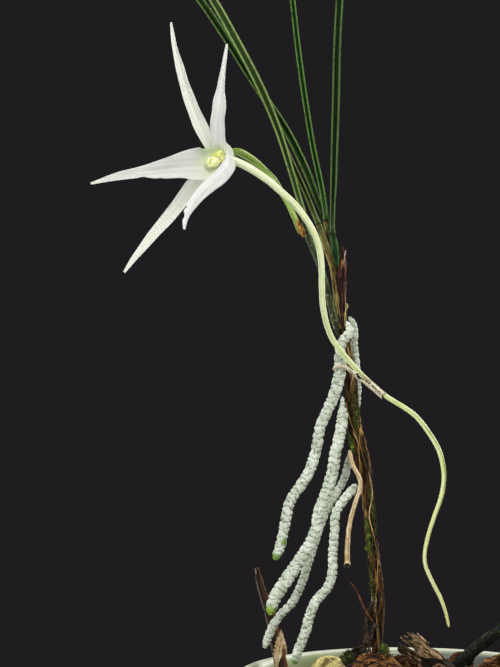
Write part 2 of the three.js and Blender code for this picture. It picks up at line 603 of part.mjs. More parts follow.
function spikeSolid(grow) {
  const route = routeOf([[-9.6, -1.9, 93.5], [-11.4, -2.6, 96.4], [-12.6, -3, 99], [-14, -3.4, 102], [-15.4, -3.6, 103.8]]);
  return sweep({ route, steps: 8, section: (t, g) => roundSection(0.45 - 0.15 * t + g, 6), grow });
}

// Loose things on the bed

const lumps = {
  bark_chunk_front: [orangeBark, [
    [-19, -13, 76], [-17, -20, 74], [-6, -22, 73], [3, -19, 75], [3, -9, 75], [-16, -7, 75], [-16.5, -11, 83.2],
    [-14.3, -10, 85.6], [-10.8, -10, 87.3], [-6.2, -10, 86.9], [-3.5, -10, 85.2], [-1.2, -11, 82.4],
    [-10, -16, 83.6], [-4, -16, 82.6],
  ]],
  bark_chunk_left: [bark, [
    [-19, 2, 73], [-11, 2.4, 73], [-10.6, 9, 73], [-18, 9.5, 73], [-17.4, 2.4, 81], [-13.4, 2.6, 87],
    [-10.9, 3.4, 87.6], [-11.2, 8, 85.5], [-16.5, 7.5, 80.5],
  ]],
  bark_chunk_right: [orangeBark, [
    [16, 3, 74], [24, 1, 74], [27, 9, 74], [17, 12, 74], [17, 4, 83], [22, 3, 85.5], [25.5, 7, 84], [19, 10, 84.5],
  ]],
  bark_chunk_outer: [bark, [
    [23, -9, 74], [34, -8, 75], [34, 1, 75], [24, 2, 74], [25, -7, 80], [31, -6, 82], [31.5, -1, 81], [26, 0, 80],
  ]],
};

// A rough slab of bark in three split layers, its torn ends pointing up and left
function splitChipSolid(grow) {
  const layers = [
    [[-3.4, 3, 86.4], [-2.6, 8, 85.4], [-0.5, 2, 83], [-0.6, 9, 82.6], [11, 0, 79], [12, 10, 79], [11, 0, 75],
      [12, 10, 75], [5.6, 1, 84], [5.6, 9, 83.6]],
    [[-1.2, 4, 88.7], [0.8, 3, 89.7], [1.6, 7, 88.8], [3, 2.4, 84], [3, 8.6, 84], [11, 2, 80.8], [11.4, 8.4, 80.6],
      [8, 2, 77], [8, 9, 77]],
    [[3.4, 4, 87.3], [5.2, 6.5, 86.6], [5, 3, 84], [12.6, 3.5, 80.2], [13, 7.6, 79.6], [10, 2.6, 76], [12, 9, 76]],
  ];
  return layers.map((corners) => lump(corners, grow)).reduce((joined, layer) => joined.add(layer));
}

function pebbleSolid(grow) {
  const stone = new THREE.IcosahedronGeometry(1, 2);
  stone.scale(4.8 + grow, 4 + grow, 3.6 + grow);
  stone.rotateY(0.12);
  stone.translate(-19.6, 24, 77);
  return toSolid(stone);
}

function twigSolid(grow) {
  const route = routeOf([[4, 13.5, 73], [9, 14, 76.3], [13, 14.5, 79.4], [19, 15, 84.4], [25, 15, 88.9], [31, 14.6, 93.6],
    [36.5, 14, 98]]);
  const radius = [[0, 1.9], [0.3, 1.75], [0.5, 2], [0.75, 1.65], [1, 1.45]];
  const section = (t, g) => roundSection(valueAt(radius, t) + g, 10, 0.08, 3 * t);
  return sweep({ route, steps: 18, section, grow });
}

function dryStickSolid(grow) {
  const route = routeOf([[-31.8, 19.5, 71.5], [-33.1, 20, 78.5], [-34.3, 20, 85.6], [-35.9, 20, 93.3], [-37.5, 20, 98.6],
    [-39.3, 20, 104.6]]);
  const half = [[0, 1.2], [0.4, 1.4], [0.7, 1.35], [0.85, 1.1], [1, 0.75]];
  const section = (t, g) => foldSection(valueAt(half, t), 1.5, bladeThickness, g);
  return sweep({ route, steps: 14, section, grow });
}

function flakeSolid(grow) {
  const route = routeOf([[-32, 15, 71.5], [-32, 15.4, 77], [-31.8, 15.6, 83], [-32.3, 15.2, 88.6]]);
  const half = [[0, 1.2], [0.3, 1.6], [0.6, 1.2], [0.8, 1.35], [1, 0.5]];
  const section = (t, g) => bladeSection(valueAt(half, t) + g, 0.8 + 2 * g, 0.3, 4);
  return sweep({ route, steps: 8, section, grow });
}

// Assembly. Each piece leaves room for the ones named after it, which are in place already.

addPiece('pot', glaze, potSolid);
addPiece('stem', stemBrown, stemSolid);
const onBed = Object.keys(lumps);
onBed.forEach((name, i) => {
  const [material, corners] = lumps[name];
  addPiece(name, material, (grow) => lump(corners, grow), ['stem', ...onBed.slice(0, i)]);
});
addPiece('bark_split_chip', bark, splitChipSolid, ['stem', ...onBed]);
addPiece('mossy_twig', mossyBark, twigSolid, [...onBed, 'bark_split_chip']);
addPiece('pebble', stoneGrey, pebbleSolid);
addPiece('dry_stick', dryBrown, dryStickSolid);
addPiece('bark_flake', dryTan, flakeSolid, ['dry_stick']);
addPiece('bark_bed', bark, bedSolid,
  ['stem_hole', ...onBed, 'bark_split_chip', 'mossy_twig', 'pebble', 'dry_stick', 'bark_flake']);

const leafNames = Object.keys(leaves);
leafNames.forEach((name, i) => {
  addPiece(name, name === 'leaf_middle_left' ? olive : leafGreen, (grow) => leafSolid(leaves[name], grow),
    ['stem', ...leafNames.slice(0, i)]);
});

addPiece('ovary', pedicelGreen, ovarySolid, leafNames);
addPiece('bract', dryTan, bractSolid, ['ovary', ...leafNames]);
addPiece('column', columnYellow, columnSolid, ['ovary']);
addPiece('anther_cap', tepalWhite, capSolid, ['column']);
addPiece('lip_with_spur', lipWhite, lipSolid, ['ovary', 'column', 'anther_cap', 'stem']);
const flowerCore = ['ovary', 'column', 'anther_cap', 'lip_with_spur'];
const tepalNames = Object.keys(tepals);
tepalNames.forEach((name, i) => {
  addPiece(name, tepalWhite, (grow) => tepalSolid(tepals[name], grow), [...flowerCore, ...tepalNames.slice(0, i)]);
});

const rootNames = Object.keys(roots);
rootNames.forEach((name, i) => {
  addPiece(name, velamen, (grow) => rootSolid(roots[name], grow),
    ['stem', 'lip_with_spur', ...leafNames, ...rootNames.slice(0, i)]);
});
const deadNames = Object.keys(deadRoots);
deadNames.forEach((name) => {
  addPiece(name, dryTan, (grow) => deadRootSolid(deadRoots[name], grow), ['stem', 'lip_with_spur', ...rootNames]);
});
addPiece('dry_spike', dryBrown, spikeSolid, ['stem']);

export default plant;
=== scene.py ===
# Potted Angraecum popowii in flower: the looks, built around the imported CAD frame. Metres, +Z up.
# Point lists are in millimetres and repeat the CAD's own centre lines.
import json
import math
import random

import bmesh
import bpy
import numpy as np
from mathutils import Matrix, Vector, kdtree, noise

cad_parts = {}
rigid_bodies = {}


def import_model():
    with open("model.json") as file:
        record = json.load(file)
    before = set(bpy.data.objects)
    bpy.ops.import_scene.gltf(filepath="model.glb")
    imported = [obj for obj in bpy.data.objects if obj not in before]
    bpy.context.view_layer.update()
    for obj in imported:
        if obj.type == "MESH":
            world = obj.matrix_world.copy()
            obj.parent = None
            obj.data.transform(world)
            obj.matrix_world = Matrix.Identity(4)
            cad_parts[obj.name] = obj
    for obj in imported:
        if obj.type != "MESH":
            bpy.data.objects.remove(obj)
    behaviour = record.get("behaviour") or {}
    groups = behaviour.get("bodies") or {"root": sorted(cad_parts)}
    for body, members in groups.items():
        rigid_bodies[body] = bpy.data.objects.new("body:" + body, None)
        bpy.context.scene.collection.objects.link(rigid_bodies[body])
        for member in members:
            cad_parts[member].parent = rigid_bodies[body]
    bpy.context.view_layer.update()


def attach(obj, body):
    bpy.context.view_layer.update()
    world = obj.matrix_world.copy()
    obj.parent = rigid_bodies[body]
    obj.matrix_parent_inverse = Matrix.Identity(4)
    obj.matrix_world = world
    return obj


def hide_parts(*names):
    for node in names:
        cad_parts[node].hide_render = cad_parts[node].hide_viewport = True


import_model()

mm = 0.001
circle = 2 * math.pi
scene = bpy.context.scene


# objects, meshes and their layers
def placed(name, data):
    thing = bpy.data.objects.new(name, data)
    scene.collection.objects.link(thing)
    return thing


def meshFrom(name, bm):
    mesh = bpy.data.meshes.new(name)
    bm.to_mesh(mesh)
    bm.free()
    return mesh


def pointsOf(piece, kind="co"):
    values = np.zeros(len(piece.data.vertices) * 3)
    piece.data.vertices.foreach_get(kind, values)
    return values.reshape(-1, 3)


def normalsOf(piece):
    return pointsOf(piece, "normal")


def setLayer(piece, label, values):
    mesh = piece.data
    if label in mesh.attributes:
        mesh.attributes.remove(mesh.attributes[label])
    values = np.broadcast_to(np.asarray(values, np.float32), len(mesh.vertices))
    mesh.attributes.new(label, "FLOAT", "POINT").data.foreach_set("value", np.ascontiguousarray(values))


def layerOf(piece, label):
    values = np.empty(len(piece.data.vertices))
    piece.data.attributes[label].data.foreach_get("value", values)
    return values


def makePiece(name, verts, faces, material, layers=None, uvs=None):
    mesh = bpy.data.meshes.new(name)
    mesh.from_pydata([tuple(v) for v in verts], [], faces)
    piece = placed(name, mesh)
    for label, values in (layers or {}).items():
        setLayer(piece, label, values)
    if uvs is not None:
        corners = np.zeros(len(mesh.loops), int)
        mesh.loops.foreach_get("vertex_index", corners)
        surface = mesh.uv_layers.new(name="surface")
        surface.data.foreach_set("uv", np.asarray(uvs, np.float32)[corners].ravel())
    mesh.shade_smooth()
    mesh.validate()
    if material:
        mesh.materials.append(material)
    return piece


def settle(piece, slotName, *nodes):
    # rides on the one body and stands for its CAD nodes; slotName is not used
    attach(piece, "root")
    if nodes:
        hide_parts(*nodes)
    return piece


def evaluatedMesh(piece):
    bpy.context.view_layer.update()
    return bpy.data.meshes.new_from_object(piece.evaluated_get(bpy.context.evaluated_depsgraph_get()))


def applied(piece, kind, **settings):
    # one modifier, made real
    modifier = piece.modifiers.new("shape", kind)
    for key, value in settings.items():
        setattr(modifier, key, value)
    mesh = evaluatedMesh(piece)
    piece.modifiers.remove(modifier)
    old, piece.data = piece.data, mesh
    bpy.data.meshes.remove(old)
    mesh.name = piece.name
    mesh.shade_smooth()
    return piece


def remeshed(piece, voxel, factor, times):
    applied(piece, "REMESH", mode="VOXEL", voxel_size=voxel * mm)
    return applied(piece, "SMOOTH", factor=factor, iterations=times)


def fused(name, parts, voxel, material, smooth=3):
    # several grown parts as one skin
    bm = bmesh.new()
    for part in parts:
        bm.from_mesh(part.data)
        bpy.data.objects.remove(part)
    piece = remeshed(placed(name, meshFrom(name, bm)), voxel, 0.6, smooth)
    piece.data.materials.clear()
    piece.data.materials.append(material)
    return piece


def pushed(piece, amount):
    # moves each point along its normal by its own amount
    co = pointsOf(piece) + normalsOf(piece) * amount[:, None]
    piece.data.vertices.foreach_set("co", co.ravel())
    piece.data.update()
    return piece


def hullPiece(name, corners):
    bm = bmesh.new()
    for corner in corners:
        bm.verts.new([c * mm for c in corner])
    made = bmesh.ops.convex_hull(bm, input=bm.verts)["geom_interior"]
    bmesh.ops.delete(bm, geom=[v for v in made if isinstance(v, bmesh.types.BMVert)], context="VERTS")
    bmesh.ops.recalc_face_normals(bm, faces=bm.faces)
    return placed(name, meshFrom(name, bm))


def ball(name, centre, radii, axis=None, level=5, dent=None):
    # a stretched ball, turned to an axis if there is one; dent(unit points) scales its reach, and the
    # "lobe" layer marks where it cuts in
    bm = bmesh.new()
    bmesh.ops.create_icosphere(bm, subdivisions=level, radius=1)
    piece = placed(name, meshFrom(name, bm))
    co = pointsOf(piece)
    if dent:
        reach = dent(co)
        co = co * reach[:, None]
        setLayer(piece, "lobe", np.clip((0.90 - reach) / 0.12, 0, 1))
    co = co * np.array(radii)
    if axis:
        co = co @ np.array(Vector(axis).to_track_quat("Z", "Y").to_matrix()).T
    piece.data.vertices.foreach_set("co", ((co + np.array(centre)) * mm).ravel())
    piece.data.shade_smooth()
    return piece


# routes, stops and rings
def unit(v):
    return v / np.maximum(np.linalg.norm(v, axis=-1, keepdims=True), 1e-12)


class Route:
    # a centripetal Catmull-Rom line through points given in millimetres, read by its length
    def __init__(self, points):
        p = np.array(points, float) * mm
        p = np.vstack([2 * p[0] - p[1], p, 2 * p[-1] - p[-2]])
        s = np.arange(24)[:, None] / 24  # steps within each span
        line = []
        for p0, p1, p2, p3 in zip(p[:-3], p[1:-2], p[2:-1], p[3:]):
            d0, d1, d2 = (max(np.linalg.norm(b - a) ** 0.5, 1e-6) for a, b in ((p0, p1), (p1, p2), (p2, p3)))
            leave = ((p1 - p0) / d0 - (p2 - p0) / (d0 + d1) + (p2 - p1) / d1) * d1
            arrive = ((p2 - p1) / d1 - (p3 - p1) / (d1 + d2) + (p3 - p2) / d2) * d1
            line.append((2 * s**3 - 3 * s**2 + 1) * p1 + (s**3 - 2 * s**2 + s) * leave
                        + (3 * s**2 - 2 * s**3) * p2 + (s**3 - s**2) * arrive)
        self.line = np.vstack(line + [p[-2:-1]])
        walked = np.r_[0, np.cumsum(np.linalg.norm(np.diff(self.line, axis=0), axis=1))]
        self.length = walked[-1]
        self.walked = walked / self.length

    def at(self, t):
        return np.stack([np.interp(t, self.walked, self.line[:, i]) for i in range(3)], axis=1)

    def tangent(self, t):
        step = 0.6 * mm / self.length
        return unit(self.at(np.minimum(t + step, 1)) - self.at(np.maximum(t - step, 0)))

    def frame(self, t, facing=(0, -1, 0)):
        # the middle of each ring, and its ways to the side, up (towards facing) and along
        tangent = self.tangent(t)
        side = unit(np.cross(np.array(facing, float), tangent))
        return self.at(t), np.stack([side, np.cross(tangent, side), tangent], axis=1)


def readStops(stops, t, soft=0.02):
    # stops are [place, value] pairs; the straight pieces between them are rounded over soft
    fine = np.linspace(-0.2, 1.2, 701)
    values = np.interp(fine, *np.array(stops).T)
    reach = max(1, int(soft / (fine[1] - fine[0])))
    kernel = np.hanning(2 * reach + 1)
    padded = np.pad(values, reach, mode="edge")
    return np.interp(t, fine, np.convolve(padded, kernel / kernel.sum(), mode="valid"))


def roughness(places, size, octaves=3, shift=0.0):
    # fractal noise from -1 to 1 at many places; size is the width of its largest lumps
    start = Vector((shift, shift * 0.7, -shift))
    return np.array([noise.fractal(Vector(p) / size + start, 1.0, 2.0, octaves) for p in places])


def ringFaces(rings, sides, closed=True):
    # quads between rings of vertices, with a fan at each end
    faces = []
    for i in range(rings - 1):
        for j in range(sides):
            a, b = i * sides + j, i * sides + (j + 1) % sides
            faces.append((a, b, b + sides, a + sides))
    if closed:
        faces.append(tuple(reversed(range(sides))))
        faces.append(tuple(range((rings - 1) * sides, rings * sides)))
    return faces


def twice(values):
    # the values across one face, then back across the other
    return np.concatenate([values, values[:, ::-1]], axis=1)


def polar(reach, angle):
    return np.stack([reach * np.cos(angle), reach * np.sin(angle)], axis=-1)


def shellOf(outer, inner, slide):
    # a strip with two faces, its points slid along the route; all in millimetres
    faces = np.concatenate([outer, inner[:, ::-1]], axis=1)
    return np.concatenate([faces, twice(slide)[..., None]], axis=-1) * mm


def ringPoints(rings, section):
    centre, ways = rings
    return centre[:, None] + section @ ways[:, :section.shape[-1]]


def swept(name, rings, section, material, layers, uvs=None):
    # section is how far the points lie to the side, up and along; a layer may be one row or one column
    shape = section.shape[:2]
    spread = lambda values: np.broadcast_to(values, shape).ravel()
    layers = {label: spread(values) for label, values in layers.items()}
    if uvs:
        uvs = np.stack([spread(values) for values in uvs], axis=-1)
    verts = ringPoints(rings, section).reshape(-1, 3)
    return makePiece(name, verts, ringFaces(*shape), material, layers, uvs)


# node helpers
def shade(colour, factor):
    return tuple(factor * c for c in colour)


def blend(a, b, share=0.5):
    return tuple(share * x + (1 - share) * y for x, y in zip(a, b))


class Nodes:
    # a node tree in the making
    def add(self, kind, feeds=None, **settings):
        made = self.tree.nodes.new(kind)
        for key, value in settings.items():
            setattr(made, key, value)
        for socket, value in (feeds or {}).items():
            if isinstance(value, bpy.types.NodeSocket):
                self.tree.links.new(value, made.inputs[socket])
            else:
                made.inputs[socket].default_value = value
        return made

    def node(self, kind, feeds=None, out=0, **settings):
        return self.add(kind, feeds, **settings).outputs[out]

    def maths(self, kind, a, b=0.0):
        return self.node("ShaderNodeMath", {0: a, 1: b}, operation=kind)

    def times(self, a, b):
        return self.maths("MULTIPLY", a, b)

    def plus(self, a, b):
        return self.maths("ADD", a, b)

    def joined(self, x, y, z=0.0):
        return self.node("ShaderNodeCombineXYZ", {0: x, 1: y, 2: z})


class Finish(Nodes):
    # a material in the making: its body is the colour so far
    def __init__(self, name, rough=0.6, **sockets):
        self.material = bpy.data.materials.new(name)
        self.material.use_nodes = True
        self.tree = self.material.node_tree
        self.shader = self.tree.nodes["Principled BSDF"]
        for key, value in {"Roughness": rough, **sockets}.items():
            self.shader.inputs[key.replace("_", " ")].default_value = value
        self.place = self.node("ShaderNodeTexCoord", out="Object")

    def stretched(self, scale, turn=(0, 0, 0), place=None):
        feeds = {"Vector": place or self.place, "Scale": scale, "Rotation": turn}
        return self.node("ShaderNodeMapping", feeds)

    def layer(self, label, out="Fac"):
        return self.node("ShaderNodeAttribute", out=out, attribute_name=label)

    def placeAlong(self, axis):
        return self.node("ShaderNodeSeparateXYZ", {0: self.place}, axis)

    def grain(self, size, detail=3.0, vector=None, rough=0.55, twist=0.0):
        return self.node("ShaderNodeTexNoise", {
            "Vector": vector or self.place, "Scale": 1 / size, "Detail": detail, "Roughness": rough,
            "Distortion": twist})

    def streaks(self, detail, rough=0.55, twist=0.0, **scales):
        # grain that follows the piece's own layers, each stretched by its scale
        parts = [self.times(self.layer(label), scale) for label, scale in scales.items()]
        return self.grain(1.0, detail, self.joined(*parts), rough, twist)

    def span(self, value, low, high, start=0.0, end=1.0):
        feeds = {"Value": value, "From Min": low, "From Max": high, "To Min": start, "To Max": end}
        return self.node("ShaderNodeMapRange", feeds, interpolation_type="SMOOTHSTEP")

    def ramp(self, value, stops):
        made = self.add("ShaderNodeValToRGB", {0: value})
        band = made.color_ramp
        while len(band.elements) < len(stops):
            band.elements.new(1.0)
        for element, (spot, colour) in zip(band.elements, stops):
            element.position, element.color = spot, (*colour, 1)
        return made.outputs[0]

    def mix(self, share, a, b):
        solid = lambda c: c if isinstance(c, bpy.types.NodeSocket) else (*c, 1)
        return self.node("ShaderNodeMix", {0: share, 6: solid(a), 7: solid(b)}, 2, data_type="RGBA")

    def coat(self, colour, value, low=None, high=1.0, start=0.0, end=1.0):
        # one more colour over the body, where the value lies in a span
        share = value if low is None else self.span(value, low, high, start, end)
        self.body = self.mix(share, self.body, colour)

    def roughBy(self, value, low, high):
        self.tree.links.new(self.span(value, 0, 1, low, high), self.shader.inputs["Roughness"])

    def done(self, height=None, depth=0.0, strength=1.0):
        self.tree.links.new(self.body, self.shader.inputs["Base Color"])
        if height:
            bump = self.node("ShaderNodeBump", {"Height": height, "Distance": depth, "Strength": strength})
            self.tree.links.new(bump, self.shader.inputs["Normal"])
        return self.material


class Builder(Nodes):
    # a geometry tree with one geometry in and out, and a named input for each size
    def __init__(self, name, sizes):
        self.tree = bpy.data.node_groups.new(name, "GeometryNodeTree")
        kinds = {float: "Float", int: "Int"}
        sockets = [("Geometry", "Geometry")] + [(label, kinds[type(value)]) for label, value in sizes.items()]
        for label, kind in sockets + [("Material", "Material"), ("Pieces", "Collection")]:
            made = self.tree.interface.new_socket(label, in_out="INPUT", socket_type="NodeSocket" + kind)
            if label in sizes:
                made.default_value = sizes[label]
        self.tree.interface.new_socket("Geometry", in_out="OUTPUT", socket_type="NodeSocketGeometry")
        self.given = self.tree.nodes.new("NodeGroupInput").outputs

    def read(self, label):
        return self.node("GeometryNodeInputNamedAttribute", {"Name": label}, "Attribute", data_type="FLOAT")

    def keep(self, geometry, label, value, domain="POINT"):
        feeds = {"Geometry": geometry, "Name": label, "Value": value}
        return self.node("GeometryNodeStoreNamedAttribute", feeds, data_type="FLOAT", domain=domain)

    def draw(self, low, high, shift, thing=None):
        # a random number; with thing, one for each value of that layer
        feeds = {2: low, 3: high, "Seed": self.plus(self.given["Seed"], shift)}
        if thing:
            feeds["ID"] = self.read(thing)
        return self.node("FunctionNodeRandomValue", feeds, 1, data_type="FLOAT")

    def vector(self, kind, a, b):
        return self.node("ShaderNodeVectorMath", {0: a, 1: b}, operation=kind)

    def scaled(self, way, amount):
        return self.node("ShaderNodeVectorMath", {0: way, "Scale": amount}, operation="SCALE")

    def shifted(self, geometry, offset):
        return self.node("GeometryNodeSetPosition", {"Geometry": geometry, "Offset": offset})

    def resampled(self, curve, step):
        return self.node("GeometryNodeResampleCurve", {"Curve": curve, "Length": step}, mode="LENGTH")

    def ring(self, sides):
        return self.node("GeometryNodeCurvePrimitiveCircle", {"Resolution": sides, "Radius": 1.0})

    def tube(self, curve, ring, width):
        return self.node("GeometryNodeCurveToMesh", {"Curve": curve, "Profile Curve": ring, "Scale": width,
                                                     "Fill Caps": True})

    def end(self, geometry):
        # the result is real geometry with its material
        real = self.node("GeometryNodeRealizeInstances", {0: geometry})
        smooth = self.node("GeometryNodeSetShadeSmooth", {0: real})
        self.add("NodeGroupOutput", {0: self.node("GeometryNodeSetMaterial", {
            "Geometry": smooth, "Material": self.given["Material"]})})
        return self.tree


def runTree(source, tree, name, sizes, material, pieces=None):
    # sets each input by its identifier, then keeps only the plain mesh that comes out
    modifier = source.modifiers.new("build", "NODES")
    modifier.node_group = tree
    values = {**sizes, "Material": material, "Pieces": pieces}
    for item in tree.interface.items_tree:
        if item.in_out == "INPUT" and item.name in values:
            modifier[item.identifier] = values[item.name]
    mesh = evaluatedMesh(source)
    mesh.name = name
    source.modifiers.remove(modifier)
    bpy.data.objects.remove(source)
    return placed(name, mesh)


# studio
studio = {
    "cameraPlace": (-0.0408, -0.520, 0.1668), "lens": 110,
    "backdrop": (0.0135, 0.0122, 0.0140),
    "floorRadius": 0.46, "floorColour": (0.62, 0.61, 0.595),
    "lamps": [  # name, place, aim, width and height, watts, colour
        ("keySoftbox", (0.16, -0.58, 0.70), (-0.03, 0, 0.16), (0.30, 0.30), 4.3, (1.0, 0.985, 0.96)),
        ("fillSoftbox", (-0.42, -0.52, 0.24), (-0.02, 0, 0.15), (0.28, 0.40), 2.2, (0.99, 0.99, 1.0)),
        ("rimRight", (0.36, 0.30, 0.40), (-0.01, 0, 0.16), (0.20, 0.55), 3.4, (1.0, 0.98, 0.95)),
        ("rimLeft", (-0.44, 0.32, 0.34), (-0.03, 0, 0.16), (0.20, 0.55), 2.0, (0.97, 0.98, 1.0)),
        ("topSoftbox", (-0.02, 0.02, 0.85), (-0.02, 0, 0.1), (0.34, 0.34), 1.2, (1.0, 1.0, 1.0)),
    ],
}


def aimed(name, data, place, target):
    thing = placed(name, data)
    thing.location = place
    thing.rotation_euler = (Vector(target) - Vector(place)).to_track_quat("-Z", "Y").to_euler()
    return thing


def buildStudio():
    eye = bpy.data.cameras.new("photoCamera")
    eye.lens, eye.sensor_width, eye.clip_start = studio["lens"], 36, 0.01
    place = Vector(studio["cameraPlace"])
    scene.camera = aimed("photoCamera", eye, place, place + Vector((0, 1, 0)))
    for name, spot, target, (width, height), watts, colour in studio["lamps"]:
        lamp = bpy.data.lights.new(name, "AREA")
        lamp.shape, lamp.size, lamp.size_y = "RECTANGLE", width, height
        lamp.energy, lamp.color = watts, colour
        aimed(name, lamp, spot, target).visible_camera = False
    scene.world = bpy.data.worlds.new("charcoalBackdrop")
    scene.world.use_nodes = True
    scene.world.node_tree.nodes["Background"].inputs["Color"].default_value = (*studio["backdrop"], 1)
    scene.view_settings.view_transform = "Standard"


buildStudio()
print("stage: camera and lamps")


# tubes that follow a path: roots, spur, pedicel, column, old stubs, spike, twig
def buildTubeTree():
    b = Builder("tubeAlongPath", {
        "Step": 0.0002, "Sides": 24, "Ring pitch": 0.0016, "Ring depth": 0.0, "Wander": 0.6,
        "Lump size": 0.001, "Lump depth": 0.0, "Ribs": 0, "Rib depth": 0.0, "Twist": 0.0, "Seed": 0.0})
    given, spot = b.given, b.add("GeometryNodeSplineParameter").outputs
    line = b.keep(b.resampled(given[0], given["Step"]), "reach", spot["Factor"])
    line = b.keep(line, "along", spot["Length"])
    line = b.keep(line, "thick", b.node("GeometryNodeInputRadius"))
    around = b.maths("DIVIDE", b.node("GeometryNodeInputIndex"), given["Sides"])
    tube = b.tube(line, b.keep(b.ring(given["Sides"]), "around", around), b.read("thick"))
    place = b.vector("ADD", b.node("GeometryNodeInputPosition"), b.joined(given["Seed"], given["Seed"]))

    def lumps(size, detail):
        scale = b.maths("DIVIDE", 1.0, size)
        made = b.node("ShaderNodeTexNoise", {"Vector": place, "Scale": scale, "Detail": detail})
        return b.maths("SUBTRACT", made, 0.5)

    # rings: full swellings with narrow grooves, which wander round the tube
    wander = b.times(lumps(b.times(given["Ring pitch"], 1.3), 1.0), b.times(given["Wander"], 9.0))
    phase = b.plus(b.times(b.maths("DIVIDE", b.read("along"), given["Ring pitch"]), math.pi), wander)
    swell = b.maths("SUBTRACT", b.maths("POWER", b.maths("ABSOLUTE", b.maths("SINE", phase)), 0.75), 0.65)
    bulge = b.times(lumps(given["Lump size"], 2.0), given["Lump depth"])
    ribs = b.times(b.times(b.read("around"), given["Ribs"]), circle)
    rib = b.maths("COSINE", b.plus(ribs, b.times(b.read("along"), given["Twist"])))
    total = b.plus(b.plus(b.times(swell, given["Ring depth"]), bulge), b.times(rib, given["Rib depth"]))
    outward = b.scaled(b.node("GeometryNodeInputNormal"), b.times(total, b.read("thick")))
    return b.end(b.shifted(b.keep(tube, "groove", total), outward))


tubeTree = buildTubeTree()


def pathCurve(name, route, stops, count, soft=0.02):
    # a curve with a radius at each point, rounded off at both ends
    t = np.linspace(0, 1, count)
    radius = readStops(stops, t, soft) * mm
    for ends in (t * route.length, (1 - t) * route.length):
        inside = np.clip(ends / (radius.max() * 0.9), 0, 1)
        radius = radius * np.sqrt(np.maximum(1 - (1 - inside) ** 2, 0.0004))
    data = bpy.data.curves.new(name, "CURVE")
    data.dimensions = "3D"
    spline = data.splines.new("POLY")
    spline.points.add(count - 1)
    spline.points.foreach_set("co", np.c_[route.at(t), np.ones(count)].ravel())
    spline.points.foreach_set("radius", radius)
    return placed(name, data)


def tubePiece(name, spec, material=None, **sizes):
    # spec has its points, its radius by stops and its sizes for the tree
    route = Route(spec["points"])
    curve = pathCurve(name + "Path", route, spec["radius"], int(route.length / (0.3 * mm)) + 20)
    return runTree(curve, tubeTree, name, {**spec["sizes"], **sizes}, material)


# finishes of the flower, leaves and roots, and one for what is like bark
def petalFinish(name, tint, core):
    f = Finish(name, 0.5, Subsurface_Weight=0.3, Subsurface_Scale=0.0012, Subsurface_Radius=(1.0, 0.95, 0.7),
               Sheen_Weight=0.12, Specular_IOR_Level=0.35)
    veins = f.streaks(2.0, sideways=1.7, along=2.2)
    f.body = f.mix(f.span(veins, 0.35, 0.7), core, tint)
    middle = (core[0] * 0.9, core[1] * 0.94, core[2] * 0.86)
    f.coat(middle, f.maths("ABSOLUTE", f.layer("across")), 0.0, 0.22, 0.35, 0.0)
    f.coat((0.70, 0.77, 0.44), f.layer("along"), 0.02, 0.16, 0.35, 0.0)
    return f.done(f.plus(veins, f.times(f.grain(0.0007, 2.0), 0.3)), 0.0001, 0.45)


petalWhite = petalFinish("petalWhite", (0.81, 0.82, 0.80), (0.68, 0.70, 0.67))
petalCream = petalFinish("petalCream", (0.87, 0.87, 0.81), (0.74, 0.76, 0.66))


def lipFinish():
    f = Finish("lipWhite", 0.48, Subsurface_Weight=0.35, Subsurface_Scale=0.0012,
               Subsurface_Radius=(1.0, 0.95, 0.7))
    across, along = f.layer("across"), f.layer("along")
    veins = f.streaks(2.0, sideways=1.5, along=3.0)
    f.body = f.mix(f.span(veins, 0.3, 0.7), (0.54, 0.56, 0.53), (0.68, 0.69, 0.67))
    midline = f.span(f.maths("ABSOLUTE", f.plus(across, 0.04)), 0.0, 0.10, 0.5, 0.0)
    f.coat((0.50, 0.56, 0.46), f.times(midline, f.span(along, 0.3, 0.62, 1.0, 0.0)))
    shadow = f.times(f.span(across, -0.92, -0.30, 1.0, 0.0), f.span(along, 0.12, 0.27, 0.85, 0.0))
    f.coat((0.30, 0.36, 0.40), shadow)
    throat = f.span(along, 0.02, 0.30, 0.75, 0.0)
    f.coat((0.50, 0.62, 0.20), f.times(throat, f.span(veins, 0.25, 0.65)))
    f.coat((0.68, 0.72, 0.48), along, 0.88, 1.0, 0.0, 0.5)
    return f.done(f.plus(veins, f.times(f.grain(0.0007, 2.0), 0.3)), 0.0001, 0.45)


def spurFinish():
    f = Finish("spurGreenCream", 0.34, Subsurface_Weight=0.25, Subsurface_Scale=0.0015,
               Subsurface_Radius=(0.9, 1.0, 0.45))
    reach = f.layer("reach")
    f.body = f.ramp(reach, [(0.0, (0.74, 0.78, 0.56)), (0.16, (0.64, 0.71, 0.36)), (0.42, (0.66, 0.74, 0.40)),
                            (0.58, (0.62, 0.70, 0.26)), (0.9, (0.66, 0.70, 0.24)), (1.0, (0.78, 0.76, 0.32))])
    streak = f.streaks(1.0, around=6.0, along=60.0)
    f.coat((0.90, 0.92, 0.72), streak, 0.48, 0.62, 0.0, 0.6)
    # painted shade: the spur is coloured darker green where its surface dips into grooves, more so further
    # down
    grooveShade = f.ramp(reach, [(0.3, (0.50, 0.58, 0.30)), (0.6, (0.26, 0.35, 0.06))])
    f.coat(grooveShade, f.layer("groove"), -0.080, -0.010, 0.85, 0.0)
    return f.done(streak, 0.00008, 0.4)


def ovaryFinish():
    f = Finish("pedicelGreen", 0.38, Subsurface_Weight=0.15, Subsurface_Scale=0.001)
    streak = f.streaks(3.0, around=10.0, along=160.0)
    f.body = f.mix(f.span(streak, 0.3, 0.7), (0.10, 0.20, 0.018), (0.36, 0.50, 0.09))
    f.coat((0.62, 0.68, 0.34), f.layer("reach"), 0.0, 0.09, 0.8, 0.0)
    f.coat((0.20, 0.14, 0.05), f.layer("reach"), 0.93, 1.0, 0.0, 0.7)
    return f.done(streak, 0.0001, 0.6)


